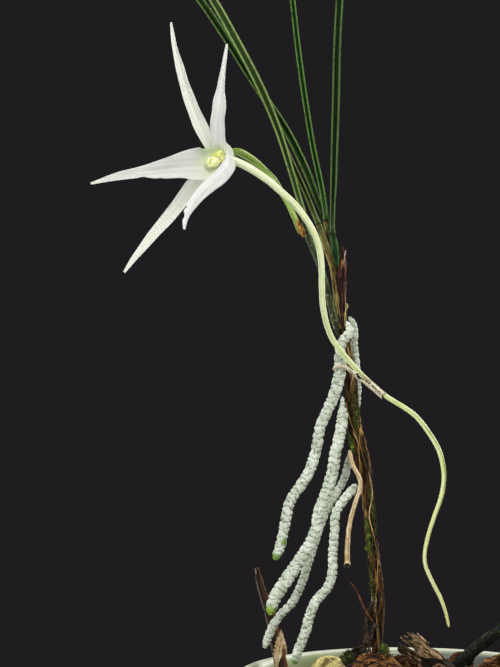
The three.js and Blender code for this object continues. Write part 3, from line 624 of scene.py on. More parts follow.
def leafFinish(name, edge, channel, back, joint, sheathHigh, sheathLow, fleck=0.35, frost=0.0):
    f = Finish(name, 0.40, Specular_IOR_Level=0.28)
    along, face = f.layer("along"), f.layer("face")
    depth = f.maths("ABSOLUTE", f.layer("across"))
    veins = f.streaks(4.0, across=7.0, along=14.0)
    mottle = f.grain(0.0009, 4.0)
    # the inside is darkest down its channel: the leaf's own dark green, deepened by painted shade in the fold
    inside = f.mix(f.span(depth, 0.45, 1.0), channel, blend(edge, channel, 0.45))
    outside = f.mix(f.span(depth, 0.3, 1.0), back, blend(edge, back, 0.4))
    # the rims and crests are paler, in the edge colour: a painted highlight
    f.body = f.mix(f.span(face, 0.0, 0.35), outside, f.mix(f.span(face, 0.62, 1.0), edge, inside))
    f.coat(blend(edge, channel, 0.7), veins, 0.46, 0.72, 0.0, fleck)
    f.coat(blend(channel, back, 0.6), mottle, 0.52, 0.70, 0.0, 0.75)
    blade = f.body
    # the sheath below the joint, and the dark line of the joint itself
    f.body = f.mix(f.span(along, joint * 0.35, joint * 0.95), sheathLow, sheathHigh)
    f.coat(shade(sheathLow, 0.22), f.streaks(5.0, 0.6, across=4.0, along=60.0), 0.40, 0.62, 0.75, 0.0)
    f.coat(tuple(min(0.6, 1.9 * c + 0.03) for c in sheathHigh), depth, 0.80, 0.97, 0.0, 0.5)
    blotch = f.grain(0.0017, 5.0, f.stretched((1, 1, 0.55)), 0.62)
    f.coat(shade(sheathLow, 0.14), blotch, 0.47, 0.56, 0.0, 0.75)
    if frost:
        f.coat((0.42, 0.47, 0.38), f.grain(0.0008, 5.0, None, 0.7), 0.56, 0.66, 0.0, frost)
    f.body = f.mix(f.span(along, joint - 0.003, joint + 0.003), f.body, blade)
    fromJoint = f.maths("ABSOLUTE", f.maths("SUBTRACT", along, joint))
    f.coat((0.012, 0.010, 0.005), fromJoint, 0.0015, 0.0045, 0.92, 0.0)
    f.roughBy(mottle, 0.34, 0.54)
    return f.done(f.plus(veins, f.times(mottle, 0.5)), 0.0001, 0.55)


def barkLikeFinish(name, dark, mid, light, size, stretch=(1, 1, 0.25), rough=0.85, moss=None):
    f = Finish(name, rough, Specular_IOR_Level=0.16)
    fibre = f.grain(size * 0.5, 6.0, f.stretched(stretch), 0.65, 0.4)
    blotch = f.grain(size * 1.8, 3.0)
    f.body = f.ramp(fibre, [(0.30, dark), (0.50, mid), (0.68, light)])
    f.coat(blend(dark, mid), blotch, 0.42, 0.62, 0.0, 0.6)
    if moss:
        patch = f.grain(size * 2.6, 3.0, None, 0.6)
        f.coat(f.mix(f.grain(size * 0.2), shade(moss, 0.4), moss), patch, 0.57, 0.65)
    f.roughBy(blotch, rough - 0.15, rough + 0.1)
    return f.done(f.plus(fibre, f.times(f.grain(size * 0.12, 3.0), 0.35)), 0.0006, 0.8)


def velamenFinish():
    f = Finish("velamenGrey", 0.85, Sheen_Weight=0.1, Specular_IOR_Level=0.25)
    speck = f.grain(0.00050, 4.0, None, 0.68)
    patch = f.grain(0.0032, 2.0)
    # darker green-grey in the ring grooves (valley) than on the swellings (crown): partly green tissue seen
    # through thinner velamen, partly painted shade
    crown = f.mix(f.span(patch, 0.35, 0.65), (0.50, 0.57, 0.44), (0.74, 0.79, 0.68))
    valley = f.mix(f.span(patch, 0.4, 0.6), (0.12, 0.17, 0.09), (0.26, 0.31, 0.22))
    uneven = f.times(f.maths("SUBTRACT", speck, 0.5), 0.36)
    f.body = f.mix(f.span(f.plus(f.layer("groove"), uneven), -0.20, -0.01), valley, crown)
    f.coat((0.94, 0.96, 0.91), speck, 0.55, 0.67, 0.0, 0.7)
    pits = f.times(f.span(speck, 0.34, 0.45, 1.0, 0.0), f.span(f.placeAlong("Z"), 0.100, 0.165, 0.9, 0.35))
    f.coat((0.13, 0.17, 0.10), pits)
    grown = f.span(speck, 0.35, 0.65)
    ripe = f.mix(f.layer("tipDark"), f.mix(grown, (0.14, 0.28, 0.012), (0.36, 0.52, 0.05)),
                 f.mix(grown, (0.035, 0.12, 0.012), (0.10, 0.26, 0.03)))
    f.coat(ripe, f.layer("tip"))
    return f.done(speck, 0.00020, 0.8)


# the flower
def bladePiece(name, spec, material):
    # a thin grown blade: cupped across, thinnest at its edges, with folds and small notches
    rings, spans = spec.get("rings", 150), spec.get("spans", 22)
    t = np.linspace(0, 1, rings)[:, None]
    s = np.linspace(1, -1, spans + 1)[None]
    half = readStops(spec["half"], t, spec.get("soft", 0.05)) * mm
    wide = half * np.ones_like(s)
    for way, spot, width, depth in spec.get("notches", ()):  # which edge, where, how long, how deep in mm
        wide -= np.exp(-(((t - spot) / width) ** 2)) * np.maximum(0, s * way) ** 3 * depth * mm
    lift = readStops(spec["cup"], t, 0.05) * mm * s**2
    for spot, width, height, start, end in spec.get("folds", ()):  # across, width, height in mm, from, to
        share = np.clip((t - start) / 0.12, 0, 1) * np.clip((end - t) / 0.2, 0, 1)
        lift = lift + height * mm * share * np.exp(-(((s - spot) / width) ** 2))
    wave = spec.get("wave", 0.12) * mm * np.sin(t * spec.get("waves", 9) * math.pi + spec.get("phase", 0.0))
    lift = lift + wave * np.abs(s) ** 3 * np.sign(s) * np.clip(half / (1.5 * mm), 0.2, 1)
    thick = spec.get("thickness", 0.5) * mm * (0.30 + 0.70 * np.sqrt(1 - 0.97 * s**2))
    thick = thick * np.clip(half / (0.9 * mm), 0.45, 1)
    rise = np.concatenate([lift + thick / 2, (lift - thick / 2)[:, ::-1]], axis=1)
    section = np.stack([twice(wide * s), rise], axis=-1)
    across = twice(s)
    face = np.repeat([[1.0, 0.0]], spans + 1, axis=1)
    layers = {"across": across, "along": t, "sideways": twice(wide * s) / mm, "face": face}
    uvs = (face * 0.5 + (across + 1) / 4, t)
    return swept(name, Route(spec["points"]).frame(t[:, 0], spec["facing"]), section, material, layers, uvs)


tepals = {
    "sepalUpper": {
        "node": "sepal_upper", "finish": petalCream,
        "points": [[-47.6, -6.2, 211.8], [-49.6, -7.2, 213.2], [-52.4, -9, 217.8], [-54.8, -10.5, 223.1],
            [-56.8, -12, 228.7], [-58.2, -13, 233.6], [-59.4, -13.6, 238.2], [-60.3, -14, 244]],
        "half": [[0, 1.1], [0.12, 1.9], [0.3, 1.9], [0.5, 1.5], [0.66, 1.2], [0.8, 0.78], [0.93, 0.48],
            [1, 0.25]],
        "facing": (-0.48, -0.87, -0.08), "cup": [[0, 0.5], [0.6, 0.5], [1, 0.2]],
        "folds": [(0.0, 0.25, -0.16, 0.05, 0.95)], "wave": 0.10, "phase": 0.7,
    },
    "sepalLower": {
        "node": "sepal_lower", "finish": petalCream,
        "points": [[-48, -5.6, 210.6], [-50, -5.2, 209.2], [-53, -4.9, 207], [-57.5, -4, 201],
            [-61.3, -3, 196.3], [-65.1, -2, 192.1], [-68.2, -1, 188.4], [-70.7, 0, 185.4],
            [-72.9, 1, 182.4]],
        "half": [[0, 1.1], [0.15, 1.9], [0.35, 1.9], [0.52, 1.65], [0.68, 1.35], [0.82, 0.95], [0.92, 0.65],
            [1, 0.28]],
        "facing": (-0.3, -0.92, 0.05), "cup": [[0, 0.6], [0.6, 0.55], [1, 0.2]],
        "folds": [(0.05, 0.22, -0.22, 0.05, 0.98)], "wave": 0.09, "phase": 2.1,
    },
    "sepalBack": {
        "node": "sepal_back", "finish": petalCream,
        "points": [[-47, -5.2, 211.8], [-47.1, -4.2, 212.9], [-47.2, -1.5, 213.7], [-47.5, 4, 214.4],
            [-47.7, 12, 215], [-47.8, 20, 215.2], [-47.9, 27, 215.1]],
        "half": [[0, 0.3], [0.1, 0.55], [0.18, 0.8], [0.4, 1.7], [0.6, 1.45], [0.8, 0.9], [1, 0.28]],
        "facing": (0.25, 0.1, 1), "cup": [[0, -0.45], [0.6, -0.45], [1, -0.2]],
        "folds": [(0.0, 0.25, 0.16, 0.05, 0.95)], "wave": 0.10, "phase": 1.2,
    },
    "petalUpper": {
        "node": "petal_upper", "finish": petalWhite,
        "points": [[-48.1, -7.4, 212.4], [-48.5, -9.4, 215.4], [-48.6, -12, 219.5], [-48.2, -14, 222.8],
            [-48, -15, 225.4], [-47.6, -16.5, 229.4], [-47.2, -17.3, 232.2], [-46.8, -18, 235],
            [-46.4, -18.5, 238]],
        "half": [[0, 1.5], [0.1, 2.1], [0.3, 1.9], [0.42, 1.85], [0.52, 1.6], [0.62, 1.0], [0.75, 0.68],
            [0.9, 0.48], [1, 0.25]],
        "facing": (-0.38, -0.92, -0.1), "cup": [[0, 0.6], [0.5, 0.6], [0.8, 0.4], [1, 0.2]],
        "folds": [(0.82, 0.16, 0.30, 0.1, 0.75), (-0.82, 0.16, 0.26, 0.1, 0.75)], "wave": 0.14, "phase": 0.2,
    },
    "petalLower": {
        "node": "petal_lower", "finish": petalWhite,
        "points": [[-47.1, -5.6, 214.9], [-46.3, -6, 213.6], [-46, -7.4, 211.6], [-46.1, -11, 208.9],
            [-48, -15, 205.9], [-50.5, -19, 203.5], [-52.6, -22, 201.2], [-54.8, -25, 198.2],
            [-55.9, -27, 196.2], [-56.4, -28.4, 194.4], [-56.6, -30, 191.9]],
        "half": [[0, 0.5], [0.05, 1.2], [0.11, 1.5], [0.24, 1.85], [0.46, 1.9], [0.6, 1.6], [0.73, 1.25],
            [0.83, 1.05], [0.9, 0.75], [1, 0.26]],
        "facing": (0.35, -0.72, 0.55), "cup": [[0, -0.3], [0.5, -0.35], [1, -0.1]],
        "folds": [(0.0, 0.2, 0.22, 0.15, 0.9)], "wave": 0.12, "phase": 1.5,
        "notches": [(-1, 0.89, 0.022, 0.75), (-1, 0.82, 0.012, 0.4)],
    },
}
for name, spec in tepals.items():
    settle(bladePiece(name, spec, spec["finish"]), "tepal", spec["node"])

lip = {
    "points": [[-47.4, -7.6, 210.3], [-49.6, -8.3, 210], [-52, -9, 209], [-53.8, -9.6, 208.7],
        [-57, -10.5, 208.5], [-62, -12, 207.6], [-66.4, -13, 206.9], [-70.6, -13.7, 206.3],
        [-74.6, -14, 205.5], [-80.3, -14, 204]],
    "half": [[0, 2], [0.08, 3.4], [0.18, 4.3], [0.26, 4.0], [0.38, 3.05], [0.46, 2.55], [0.56, 1.9],
        [0.68, 1.35], [0.84, 0.85], [0.94, 0.52], [1, 0.26]],
    "cup": [[0, 1.6], [0.2, 1.7], [0.4, 1.1], [0.6, 0.6], [1, 0.1]], "facing": (0.05, -0.95, 0.22),
    "rings": 190, "spans": 32, "soft": 0.03, "wave": 0.16, "waves": 7,
    "folds": [(-0.04, 0.14, -0.34, -0.12, 0.62)], "notches": [(1, 0.62, 0.035, 0.4), (1, 0.5, 0.02, 0.15)],
}
spur = {
    "points": [[-48.6, -7.4, 210.6], [-46.4, -7.2, 210.7], [-44.1, -7, 210], [-41.7, -7.1, 208.9],
        [-39.4, -7.3, 207.5], [-36, -7.5, 205.1], [-32.9, -7.6, 202.4], [-29.5, -7.6, 199.2],
        [-26.9, -7.6, 195.8], [-24.6, -7.5, 191.8], [-23.3, -7.4, 187.7], [-22.8, -7.2, 183.5],
        [-22.7, -7, 178.2], [-22.4, -6.8, 173.6], [-21.4, -6.4, 168.8], [-19.9, -6.2, 165.2],
        [-17.2, -6.2, 161.5], [-14.9, -6.3, 158.8], [-12.8, -6.3, 156.5], [-10.3, -6.3, 154.2],
        [-8.6, -6.3, 152.7], [-6.5, -6.4, 151], [-4, -6.8, 149.4], [-1.7, -7, 148], [1.1, -7.4, 145.8],
        [4.2, -7.8, 141.8], [6.6, -8, 137.6], [7.7, -8, 133.5], [7.9, -8, 129.8], [7.2, -8, 125.7],
        [5.6, -8, 121.1], [4, -8, 116.1], [3.1, -8, 111.5], [3.3, -7.8, 108.5], [5.2, -7.5, 104],
        [7.1, -7, 100.3], [8.5, -6.5, 96.5], [9.4, -6, 92.6]],
    "radius": [[0, 1.3], [0.03, 1.1], [0.15, 0.88], [0.3, 0.74], [0.42, 0.66], [0.52, 0.58], [0.7, 0.6],
        [0.95, 0.5], [1, 0.36]],
    "sizes": {
        "Step": 0.00035, "Sides": 26, "Lump size": 0.004, "Lump depth": 0.10, "Ribs": 2, "Rib depth": 0.07,
        "Twist": 45.0,
    },
}
spurGreen = spurFinish()
settle(bladePiece("lipBlade", lip, lipFinish()), "lip", "lip_with_spur")
settle(tubePiece("nectarSpur", spur, spurGreen), "lip", "lip_with_spur")

pedicel = {
    "points": [[-48.2, -6.6, 211.2], [-46.6, -4.8, 211.9], [-44.2, -3, 212.9], [-41.8, -1, 212.1],
        [-39, 0.5, 210.2], [-36.7, 1, 208.1], [-34.9, 1, 206.3], [-33.4, 0.5, 203.9], [-32, 0, 201.6],
        [-30.5, -0.7, 198.8], [-29, -1.9, 195.2], [-27.9, -2.8, 192]],
    "radius": [[0, 0.9], [0.05, 1.25], [0.1, 1.15], [0.16, 0.95], [0.4, 0.9], [0.7, 0.78], [0.95, 0.75],
        [1, 0.6]],
    "sizes": {
        "Step": 0.00025, "Sides": 30, "Lump size": 0.003, "Lump depth": 0.12, "Ribs": 6, "Rib depth": 0.09,
        "Twist": 130.0,
    },
}
ovaryGreen = ovaryFinish()
settle(tubePiece("ovary", pedicel, ovaryGreen), "pedicel", "ovary")
print("stage: tepals, lip, spur and pedicel")


# leaves
leaves = {
    "leafUpright": {
        "node": "leaf_upright", "joint": 0.08,
        "finish": leafFinish("leafUprightGreen", (0.070, 0.14, 0.032), (0.004, 0.014, 0.002),
            (0.012, 0.040, 0.005), 0.08, (0.020, 0.085, 0.012), (0.018, 0.060, 0.012)),
        "points": [[-18.5, -2.1, 183.5], [-19.1, -2.1, 186.8], [-19.3, -2, 189.3], [-19.8, -1.8, 192],
            [-19.8, -1.5, 197.2], [-19.7, -1.3, 201], [-19.5, -1.1, 206], [-19.3, -1, 213.5],
            [-18.9, -1, 227], [-18.6, -1, 240], [-17.9, -1.2, 253], [-16.6, -1.8, 268], [-14.6, -2.8, 281],
            [-12.4, -4, 291]],
        "width": [[0, 0.8], [0.04, 1], [0.08, 0.75], [0.12, 0.62], [0.2, 0.85], [0.35, 1], [0.7, 0.95],
            [0.9, 0.7], [1, 0.3]],
    },
    "leafInnerLeft": {
        "node": "leaf_inner_left", "joint": 0.105,
        "finish": leafFinish("leafInnerGreen", (0.085, 0.20, 0.030), (0.008, 0.036, 0.005),
            (0.022, 0.080, 0.010), 0.105, (0.15, 0.15, 0.030), (0.20, 0.12, 0.035)),
        "points": [[-19.7, 1.4, 185], [-20.1, 1.2, 187.6], [-20.5, 1, 190.7], [-21, 0.9, 193.2],
            [-21.4, 0.9, 196], [-22, 1, 201], [-22.8, 1.2, 205.5], [-24.6, 1.6, 214], [-26.8, 2.4, 227.5],
            [-28.5, 2.8, 240], [-29.9, 3, 252.5], [-31.6, 3, 266], [-33.6, 2.8, 278], [-35.8, 2.4, 287]],
        "width": [[0, 0.55], [0.06, 0.75], [0.105, 0.72], [0.13, 0.68], [0.2, 0.72], [0.5, 0.75], [0.9, 0.6],
            [1, 0.3]],
    },
    "leafFrontLeft": {
        "node": "leaf_front_left", "joint": 0.25,
        "finish": leafFinish("leafFrontGreen", (0.21, 0.31, 0.085), (0.012, 0.036, 0.005),
            (0.045, 0.105, 0.018), 0.25, (0.030, 0.070, 0.020), (0.075, 0.075, 0.025), 0.6, frost=0.7),
        "points": [[-18.6, -2.3, 166.2], [-19, -2.2, 168.7], [-19.6, -1.9, 171.2], [-20.3, -1.6, 174],
            [-21, -1.4, 176.6], [-21.6, -1.2, 179.4], [-22.5, -1, 182.5], [-24.6, -1, 188.1],
            [-26.1, -1, 191.6], [-27.4, -1, 198.2], [-28.6, -1, 202.1], [-30.4, -1, 208.4], [-33.4, -1, 218],
            [-36.6, -1.2, 226], [-39.4, -1.6, 232], [-44.4, -2, 241.4], [-49.8, -2, 251], [-56.5, -2.5, 261],
            [-64, -3, 269], [-71.5, -3.5, 274.5], [-78, -4, 276.5]],
        "width": [[0, 0.6], [0.03, 1], [0.08, 0.9], [0.2, 0.9], [0.25, 0.72], [0.36, 0.82], [0.5, 1.05],
            [0.75, 1.05], [0.92, 0.75], [1, 0.3]],
    },
    "leafMiddleLeft": {
        "node": "leaf_middle_left", "joint": 0.16,
        "finish": leafFinish("leafMiddleOlive", (0.16, 0.21, 0.045), (0.022, 0.045, 0.008),
            (0.060, 0.090, 0.018), 0.16, (0.13, 0.15, 0.020), (0.27, 0.155, 0.045), 0.4),
        "points": [[-19.6, -1.3, 179.2], [-19.8, -1.1, 183.8], [-20.7, -0.7, 186.6], [-21.6, -0.5, 189.4],
            [-22.4, -0.1, 192], [-23.1, 0.7, 194.3], [-24.5, 1.3, 197.6], [-26.3, 1.6, 202.2],
            [-28.6, 1.7, 207.3], [-30.8, 1.8, 212], [-33.2, 1.8, 217.5], [-36.4, 1.7, 226.6],
            [-41.2, 1.5, 236.3], [-47, 1.3, 246.4], [-52.3, 1.2, 255.5], [-57, 1.6, 264], [-60.4, 2.2, 272]],
        "width": [[0, 0.5], [0.04, 0.8], [0.1, 0.95], [0.16, 0.7], [0.22, 0.68], [0.4, 0.75], [0.85, 0.75],
            [1, 0.3]],
    },
    "leafBackLeft": {
        "node": "leaf_back_left", "joint": 0.15,
        "finish": leafFinish("leafBackGreen", (0.12, 0.22, 0.045), (0.010, 0.036, 0.006),
            (0.022, 0.075, 0.012), 0.15, (0.020, 0.050, 0.010), (0.10, 0.09, 0.03)),
        "points": [[-18.7, 2.3, 181], [-19.6, 2.9, 187], [-20.9, 3.4, 193.5], [-22.2, 3.8, 198.3],
            [-23.9, 4, 202.4], [-26.4, 4.1, 208.8], [-31.5, 4.2, 219], [-37.6, 4.2, 228.2],
            [-42.4, 4, 235.6], [-47.6, 3.8, 243.8], [-53.4, 3.4, 252.2], [-60, 2.6, 260], [-67, 1.8, 266],
            [-73.5, 1.2, 269.5], [-78.5, 1, 270]],
        "width": [[0, 0.5], [0.06, 0.75], [0.15, 0.7], [0.25, 1.05], [0.4, 1.05], [0.75, 0.95], [0.92, 0.7],
            [1, 0.3]],
    },
}
leafShape = {"rings": 240, "spans": 16, "wall": 0.42, "fold": 1.7, "round": 1.35, "jointSwell": 0.10,
             "footReach": 4.5, "sheathBulge": 0.55}


def leafPiece(name, spec):
    # folded along its keel and open towards the viewer; below the joint it is a closed, rounded sheath
    route = Route(spec["points"])
    rings, spans, joint = leafShape["rings"], leafShape["spans"], spec["joint"]
    t = np.linspace(0, 1, rings)[:, None]
    s = np.linspace(1, -1, spans + 1)[None]
    foot = np.clip(t * route.length / mm / leafShape["footReach"], 0, 1)
    foot = np.sqrt(np.clip(1 - (1 - foot) ** 2, 0.004, 1))
    half = readStops(spec["width"], t, 0.03) + leafShape["jointSwell"] * np.exp(-(((t - joint) / 0.006) ** 2))
    half = half * foot
    deep = [[0, 0.8], [joint, 0.85], [joint + 0.12, leafShape["fold"]], [0.85, 1.5], [1, 0.9]]
    fold = readStops(deep, t) * foot
    opened = 1 / (1 + np.exp(-(t - joint - 0.012) / 0.006))  # 0 in the sheath, 1 in the blade
    bow = 1 - np.abs(s) ** leafShape["round"]
    rim = np.minimum(leafShape["wall"], 0.45 * half)
    inside = opened * np.maximum(fold - 0.75, 0.1) - (1 - opened) * leafShape["sheathBulge"] * foot
    outer = np.stack([half * s, -fold * bow], axis=-1)
    inner = np.stack([(half - rim) * s, -inside * bow], axis=-1)[:, ::-1]
    crest = lambda way: np.stack([way * (half - rim / 2), 0.07 * foot], axis=-1)
    section = np.concatenate([outer, crest(-1), inner, crest(1)], axis=1) * mm
    across = np.r_[s[0], -1, s[0, ::-1], 1]
    face = np.r_[0.4, np.zeros(spans - 1), 0.4, 0.5, 0.6, np.ones(spans - 1), 0.6, 0.5]
    uvs = (np.linspace(0, 1, len(across)), t)
    layers = {"across": across, "along": t, "face": face}
    return swept(name, route.frame(t[:, 0]), section, spec["finish"], layers, uvs)


for name, spec in leaves.items():
    settle(leafPiece(name, spec), "olive_leaf" if "Olive" in spec["finish"].name else "leaf", spec["node"])
print("stage: leaves")


# roots
velamenGrey = velamenFinish()
roots = {
    "rootFront": {
        "node": "root_front", "seed": 0.0, "tip": 1.6, "dark": 0.45, "patch": (-32.0, -9.8, 114.6, 1.0),
        "points": [[-16.3, -1.5, 170], [-15.5, -2.4, 167.6], [-16.1, -2.9, 166.2], [-17.2, -3.1, 165],
            [-17.9, -3.2, 163], [-18, -3.2, 160.8], [-18, -3.3, 156.8], [-19.1, -3.6, 152.3],
            [-21.2, -4.2, 147.3], [-23.1, -4.9, 143], [-24, -5.5, 137.9], [-25.8, -6.2, 132.2],
            [-28, -6.9, 128.6], [-30.7, -7.6, 124.6], [-32, -8.2, 119], [-33.1, -8.8, 114],
            [-34.6, -9.4, 110]],
        "radius": [[0, 0.45], [0.03, 0.85], [0.07, 1.2], [0.12, 1.2], [0.2, 1.45], [0.3, 1.4], [0.4, 1.3],
            [0.96, 1.25], [1, 0.8]],
    },
    "rootClasping": {
        "node": "root_clasping", "seed": 0.3,
        "points": [[-15.6, 0.9, 171.2], [-14.5, 1, 169.6], [-14, 1.1, 167], [-14.1, 1.4, 163.9],
            [-13.7, 1.9, 160], [-13.3, 2.2, 155.5], [-13.1, 2.4, 152.9], [-13.3, 2.7, 149.8],
            [-13.6, 3, 146]],
        "radius": [[0, 0.4], [0.1, 0.8], [0.5, 0.9], [0.95, 0.85], [1, 0.6]],
    },
    "rootMiddle": {
        "node": "root_middle", "seed": 0.6,
        "points": [[-17.3, -1.9, 151], [-17.3, -2.6, 148], [-17.4, -3.3, 145], [-18.1, -3.7, 140.9],
            [-19.2, -4, 136.5], [-19.8, -4, 132.1], [-21.7, -4.2, 125.8], [-23.3, -4.5, 121.7],
            [-23.9, -4.8, 117.7], [-25.6, -5, 113.6], [-29.3, -5.5, 108], [-33.1, -6, 102.5],
            [-34.8, -6.2, 99.5], [-35.9, -6.5, 95.8]],
        "radius": [[0, 0.4], [0.04, 0.6], [0.08, 1.35], [0.3, 1.42], [0.7, 1.5], [0.9, 1.6], [0.97, 1.3],
            [1, 0.8]],
    },
    "rootBack": {
        "node": "root_back", "seed": 0.9, "tip": -1.0,
        "points": [[-14.9, 1.8, 136.5], [-15.8, 2.4, 132.6], [-16.9, 3, 129], [-19, 3.5, 125.1],
            [-20.8, 3.5, 122], [-22.3, 3.5, 118.4], [-23.9, 3.5, 113.8], [-25.7, 3.5, 108.1],
            [-27.7, 3.5, 102.2], [-30, 4, 97.6], [-32.8, 4, 94.6], [-34.9, 4, 91.6], [-36.2, 4, 88.5],
            [-37.1, 4, 85.8]],
        "radius": [[0, 0.7], [0.06, 0.95], [0.3, 0.9], [0.6, 1], [0.95, 1.05], [1, 0.7]],
    },
    "rootLong": {
        "node": "root_long", "seed": 1.2, "tip": 1.2, "dark": 0.7,
        "points": [[-13.3, -1.3, 128.4], [-15.2, -2.4, 126.6], [-17.7, -3.4, 123.7], [-19.1, -4, 121.2],
            [-19.4, -4.5, 116.7], [-19.9, -5, 111.6], [-20, -6, 106.7], [-21.4, -7, 102.6],
            [-24.2, -8, 99.6], [-25.9, -9, 95.8], [-27, -10, 91.9], [-28.9, -11, 87.3],
            [-29.9, -11.5, 84.2]],
        "radius": [[0, 0.8], [0.05, 1.1], [0.4, 1.1], [0.7, 1.2], [0.95, 1.15], [1, 0.7]],
    },
}
rootSizes = {"Step": 0.00016, "Sides": 36, "Ring pitch": 0.0016, "Ring depth": 0.30, "Wander": 0.8,
             "Lump size": 0.0013, "Lump depth": 0.22}
rootTip = 2.2  # millimetres of bare green tip


def markTip(piece, spec):
    # the last stretch is bare and green; patch is one more green spot: its place and reach
    left = (1 - layerOf(piece, "reach")) * Route(spec["points"]).length / mm
    tone = 1 / (1 + np.exp((left - spec.get("tip", rootTip)) * 4.0))
    if "patch" in spec:
        away = np.linalg.norm(pointsOf(piece) / mm - spec["patch"][:3], axis=1)
        tone = np.maximum(tone, np.exp(-((away / spec["patch"][3]) ** 4)))
    setLayer(piece, "tip", tone)
    setLayer(piece, "tipDark", spec.get("dark", 0.0))


for name, spec in roots.items():
    piece = tubePiece(name, {"sizes": rootSizes, **spec}, velamenGrey, Seed=spec["seed"])
    markTip(piece, spec)
    settle(piece, "root", spec["node"])
print("stage: roots")


# column, anther cap and bract
def waxFinish(name, rough, blue, size, step, deep, pale, lobe=None):
    wax = {"Subsurface_Weight": 0.2, "Subsurface_Scale": 0.0006, "Subsurface_Radius": (0.9, 1.0, blue)}
    f = Finish(name, rough, **wax)
    tint = f.grain(size, 3.0)
    f.body = f.mix(f.span(tint, 0.5 - step, 0.5 + step), deep, pale)
    # painted shade: darker green where the cap cuts in, in its groove and furrow
    if lobe:
        f.coat(lobe, f.layer("lobe"))
    return f.done(tint, 0.0001, 0.5)


columnYellow = waxFinish("columnYellow", 0.42, 0.3, 0.0012, 0.15, (0.58, 0.64, 0.09), (0.86, 0.85, 0.40))
capCream = waxFinish("antherCream", 0.38, 0.4, 0.0010, 0.12, (0.76, 0.82, 0.26), (0.98, 0.99, 0.72),
                     (0.42, 0.52, 0.09))

column = {
    "points": [[-47.5, -6.6, 212.9], [-48.5, -8.2, 211.6], [-49.3, -9.6, 210.4]],
    "radius": [[0, 0.9], [0.3, 1.25], [0.8, 1.4], [1, 1.25]], "sizes": {"Step": 0.0001, "Lump depth": 0.06},
}
columnArms = [{
    "points": [[-48.6 + a, -8.6, 211.2], [-49.2 + 1.2 * a, -10, 210.2], [-49.7 + a, -11, 209.4]],
    "radius": [[0, 0.6], [1, 0.32]], "sizes": {"Step": 0.0001},
} for a in (-1.15, 1.15)]
columnAxis = Vector(column["points"][-1]) - Vector(column["points"][0])
parts = [tubePiece("columnBody", column)] + [tubePiece("columnArm", arm) for arm in columnArms]
settle(fused("column", parts, 0.11, columnYellow), "column", "column")


def capDent(p):
    # two lobes with a groove between them, a furrow round their foot, and a small beak below
    x, y, z = p.T
    groove = 0.26 * np.exp(-((x / 0.15) ** 2)) * np.clip(z + 0.9, 0, 1)
    furrow = 0.16 * np.exp(-(((z + 0.15 + 0.25 * x**2) / 0.12) ** 2))
    beak = 0.34 * np.exp(-((x / 0.24) ** 2 + ((y + 0.25) / 0.3) ** 2)) * (z > 0)
    return 1 - groove - furrow + beak


capShape = {"centre": (-50.1, -10.7, 209.6), "radii": (1.95, 1.5, 1.35)}
cap = ball("antherCap", capShape["centre"], capShape["radii"], columnAxis, dent=capDent)
cap.data.materials.append(capCream)
settle(cap, "tepal", "anther_cap")

bractBrown = barkLikeFinish("bractBrown", (0.030, 0.010, 0.002), (0.38, 0.15, 0.015), (0.85, 0.55, 0.16),
                            0.0016, (1, 1, 0.5), 0.6)
bract = {
    "points": [[-26.9, -4.1, 191.4], [-28, -4.45, 193.5], [-29.3, -4.1, 196]],
    "half": [[0, 0.6], [0.3, 0.75], [0.7, 0.5], [1, 0.12]], "cup": [[0, -0.45], [1, -0.4]],
    "facing": (0, -1, 0), "rings": 60, "spans": 16, "thickness": 0.4, "wave": 0.1,
    "notches": [(1, 0.3, 0.06, 0.3), (-1, 0.1, 0.06, 0.35)],
}
settle(bladePiece("bract", bract, bractBrown), "dry_tan", "bract")
print("stage: column, cap and bract")


# dead roots
def deadRootFinish(name, dark, mid, light, stain):
    f = Finish(name, 0.78, Specular_IOR_Level=0.3)
    fibre = f.streaks(4.0, around=9.0, along=260.0)
    f.body = f.ramp(fibre, [(0.28, dark), (0.46, mid), (0.62, light)])
    f.coat(stain, f.grain(0.0016), 0.54, 0.66, 0.0, 0.6)
    f.coat(dark, f.grain(0.0006), 0.64, 0.70, 0.0, 0.8)
    # painted shade: the shell's inner face, marked by the dark layer, is near black
    f.coat((0.012, 0.007, 0.005), f.layer("dark"))
    return f.done(f.plus(fibre, f.grain(0.0003)), 0.0003, 0.8)


